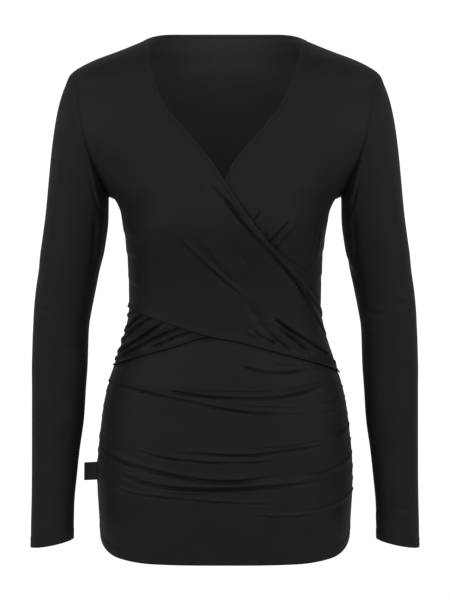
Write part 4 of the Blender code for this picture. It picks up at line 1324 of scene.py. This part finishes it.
def makeLabel():
    ply = label["plyThickness"]
    half = label["gap"] / 2 + ply
    away = np.linspace(label["fromSeam"], label["reach"] - half, label["alongSteps"])
    turns = np.linspace(0, np.pi, label["bendSteps"])[1:-1]
    heights = np.linspace(label["top"], label["bottom"], label["heightSteps"])
    seamX = body(-90.0, heights)[:, 0]

    def section(radius):
        front = np.stack([away, np.full(len(away), -radius)], -1)
        bend = np.stack([label["reach"] - half + radius * np.sin(turns), -radius * np.cos(turns)], -1)
        return np.concatenate([front, bend, front[::-1] * (1, -1)])

    grids = []
    for radius in (half, label["gap"] / 2):
        across = section(radius)
        out = across[:, 0]
        x = seamX[:, None] - out[None]
        swung = label["swing"] * (out / label["reach"]) ** 2
        y = np.broadcast_to(form["seamPlaneY"] + swung + across[:, 1], x.shape)
        z = heights[:, None] - label["slope"] * out[None]
        grids.append(np.stack([x, y, z], -1))
    rows, columns = grids[0].shape[:2]
    grain = np.stack(np.meshgrid(np.arange(columns) * 1.0, np.arange(rows) * 1.0), -1)
    piece = shellObject("side_label_tab", *grids, grain, [labelSatin, labelSatin])
    dress(piece, "side_label")


makeLabel()
print("label done")


# The room: a pale floor, soft light from both sides and the camera

room = {
    "floorHeight": -1350.0,
    "floorSize": 5000.0,
    "floorTone": (0.86, 0.86, 0.86),
    "floorRoughness": 0.8,
    "surround": 0.33,          # the light that it gives
    "seenSurround": 1.10,      # how bright the camera sees it
    "cameraDistance": 3200.0,
    "cameraElevation": 4.0,
    "aimHeight": -322.4,
    "focalPixels": 2461.5,
    "imageHeight": 600.0,
    "sensor": 36.0,
    "sightLimit": 100.0,       # in metres
    # name, place, size, power, aim height
    "lights": [
        ("softFront", (0, -2500, 1400), 1500, 5, -250),
        ("softLeft", (-1500, -2500, 850), 1500, 12.5, -250),
        ("softRight", (1500, -2500, 850), 1500, 12.5, -250),
        ("sideLeft", (-2500, -1150, 850), 1500, 17, -250),
        ("sideRight", (2500, -1150, 850), 1500, 17, -250),
    ],
}


def makeFloor():
    half = room["floorSize"] / 2 * mm
    z = room["floorHeight"] * mm
    data = bpy.data.meshes.new("floor")
    corners = [(-half, -half, z), (half, -half, z), (half, half, z), (-half, half, z)]
    data.from_pydata(corners, [], [(0, 1, 2, 3)])
    floor = addObject("floor", data)
    material = bpy.data.materials.new("paleFloor")
    material.use_nodes = True
    shader = material.node_tree.nodes["Principled BSDF"]
    shader.inputs["Base Color"].default_value = (*room["floorTone"], 1)
    shader.inputs["Roughness"].default_value = room["floorRoughness"]
    data.materials.append(material)


def makeWorld():
    world = bpy.data.worlds.new("paleRoom")
    bpy.context.scene.world = world
    world.use_nodes = True
    tree = world.node_tree
    tree.nodes.clear()
    output = addNode(tree, "ShaderNodeOutputWorld")
    background = addNode(tree, "ShaderNodeBackground", Color=(1, 1, 1, 1))
    path = addNode(tree, "ShaderNodeLightPath")
    strength = addNode(tree, "ShaderNodeMapRange")
    strength.inputs["To Min"].default_value = room["surround"]
    strength.inputs["To Max"].default_value = room["seenSurround"]
    tree.links.new(path.outputs["Is Camera Ray"], strength.inputs["Value"])
    tree.links.new(strength.outputs["Result"], background.inputs["Strength"])
    tree.links.new(background.outputs["Background"], output.inputs["Surface"])


def aimAt(thing, target):
    away = np.array(thing.location) - np.array(target)
    flat = math.hypot(away[0], away[1])
    thing.rotation_euler = (math.atan2(flat, away[2]), 0, math.atan2(away[0], -away[1]))


def makeLights():
    for name, place, size, power, aimHeight in room["lights"]:
        light = bpy.data.lights.new(name, "AREA")
        light.size = size * mm
        light.energy = power
        thing = addObject(name, light)
        thing.location = [part * mm for part in place]
        aimAt(thing, (0, 0, aimHeight * mm))


def makeCamera():
    camera = bpy.data.cameras.new("camera")
    camera.sensor_width = room["sensor"]
    camera.lens = room["focalPixels"] / room["imageHeight"] * camera.sensor_width
    camera.clip_end = room["sightLimit"]
    thing = addObject("camera", camera)
    tilt = math.radians(room["cameraElevation"])
    away = room["cameraDistance"] * mm
    thing.location = (0, -away * math.cos(tilt), room["aimHeight"] * mm + away * math.sin(tilt))
    thing.rotation_euler = (math.pi / 2 - tilt, 0, 0)
    bpy.context.scene.camera = thing


makeFloor()
makeWorld()
makeLights()
makeCamera()
bpy.context.scene.view_settings.view_transform = "Standard"
print("room done")
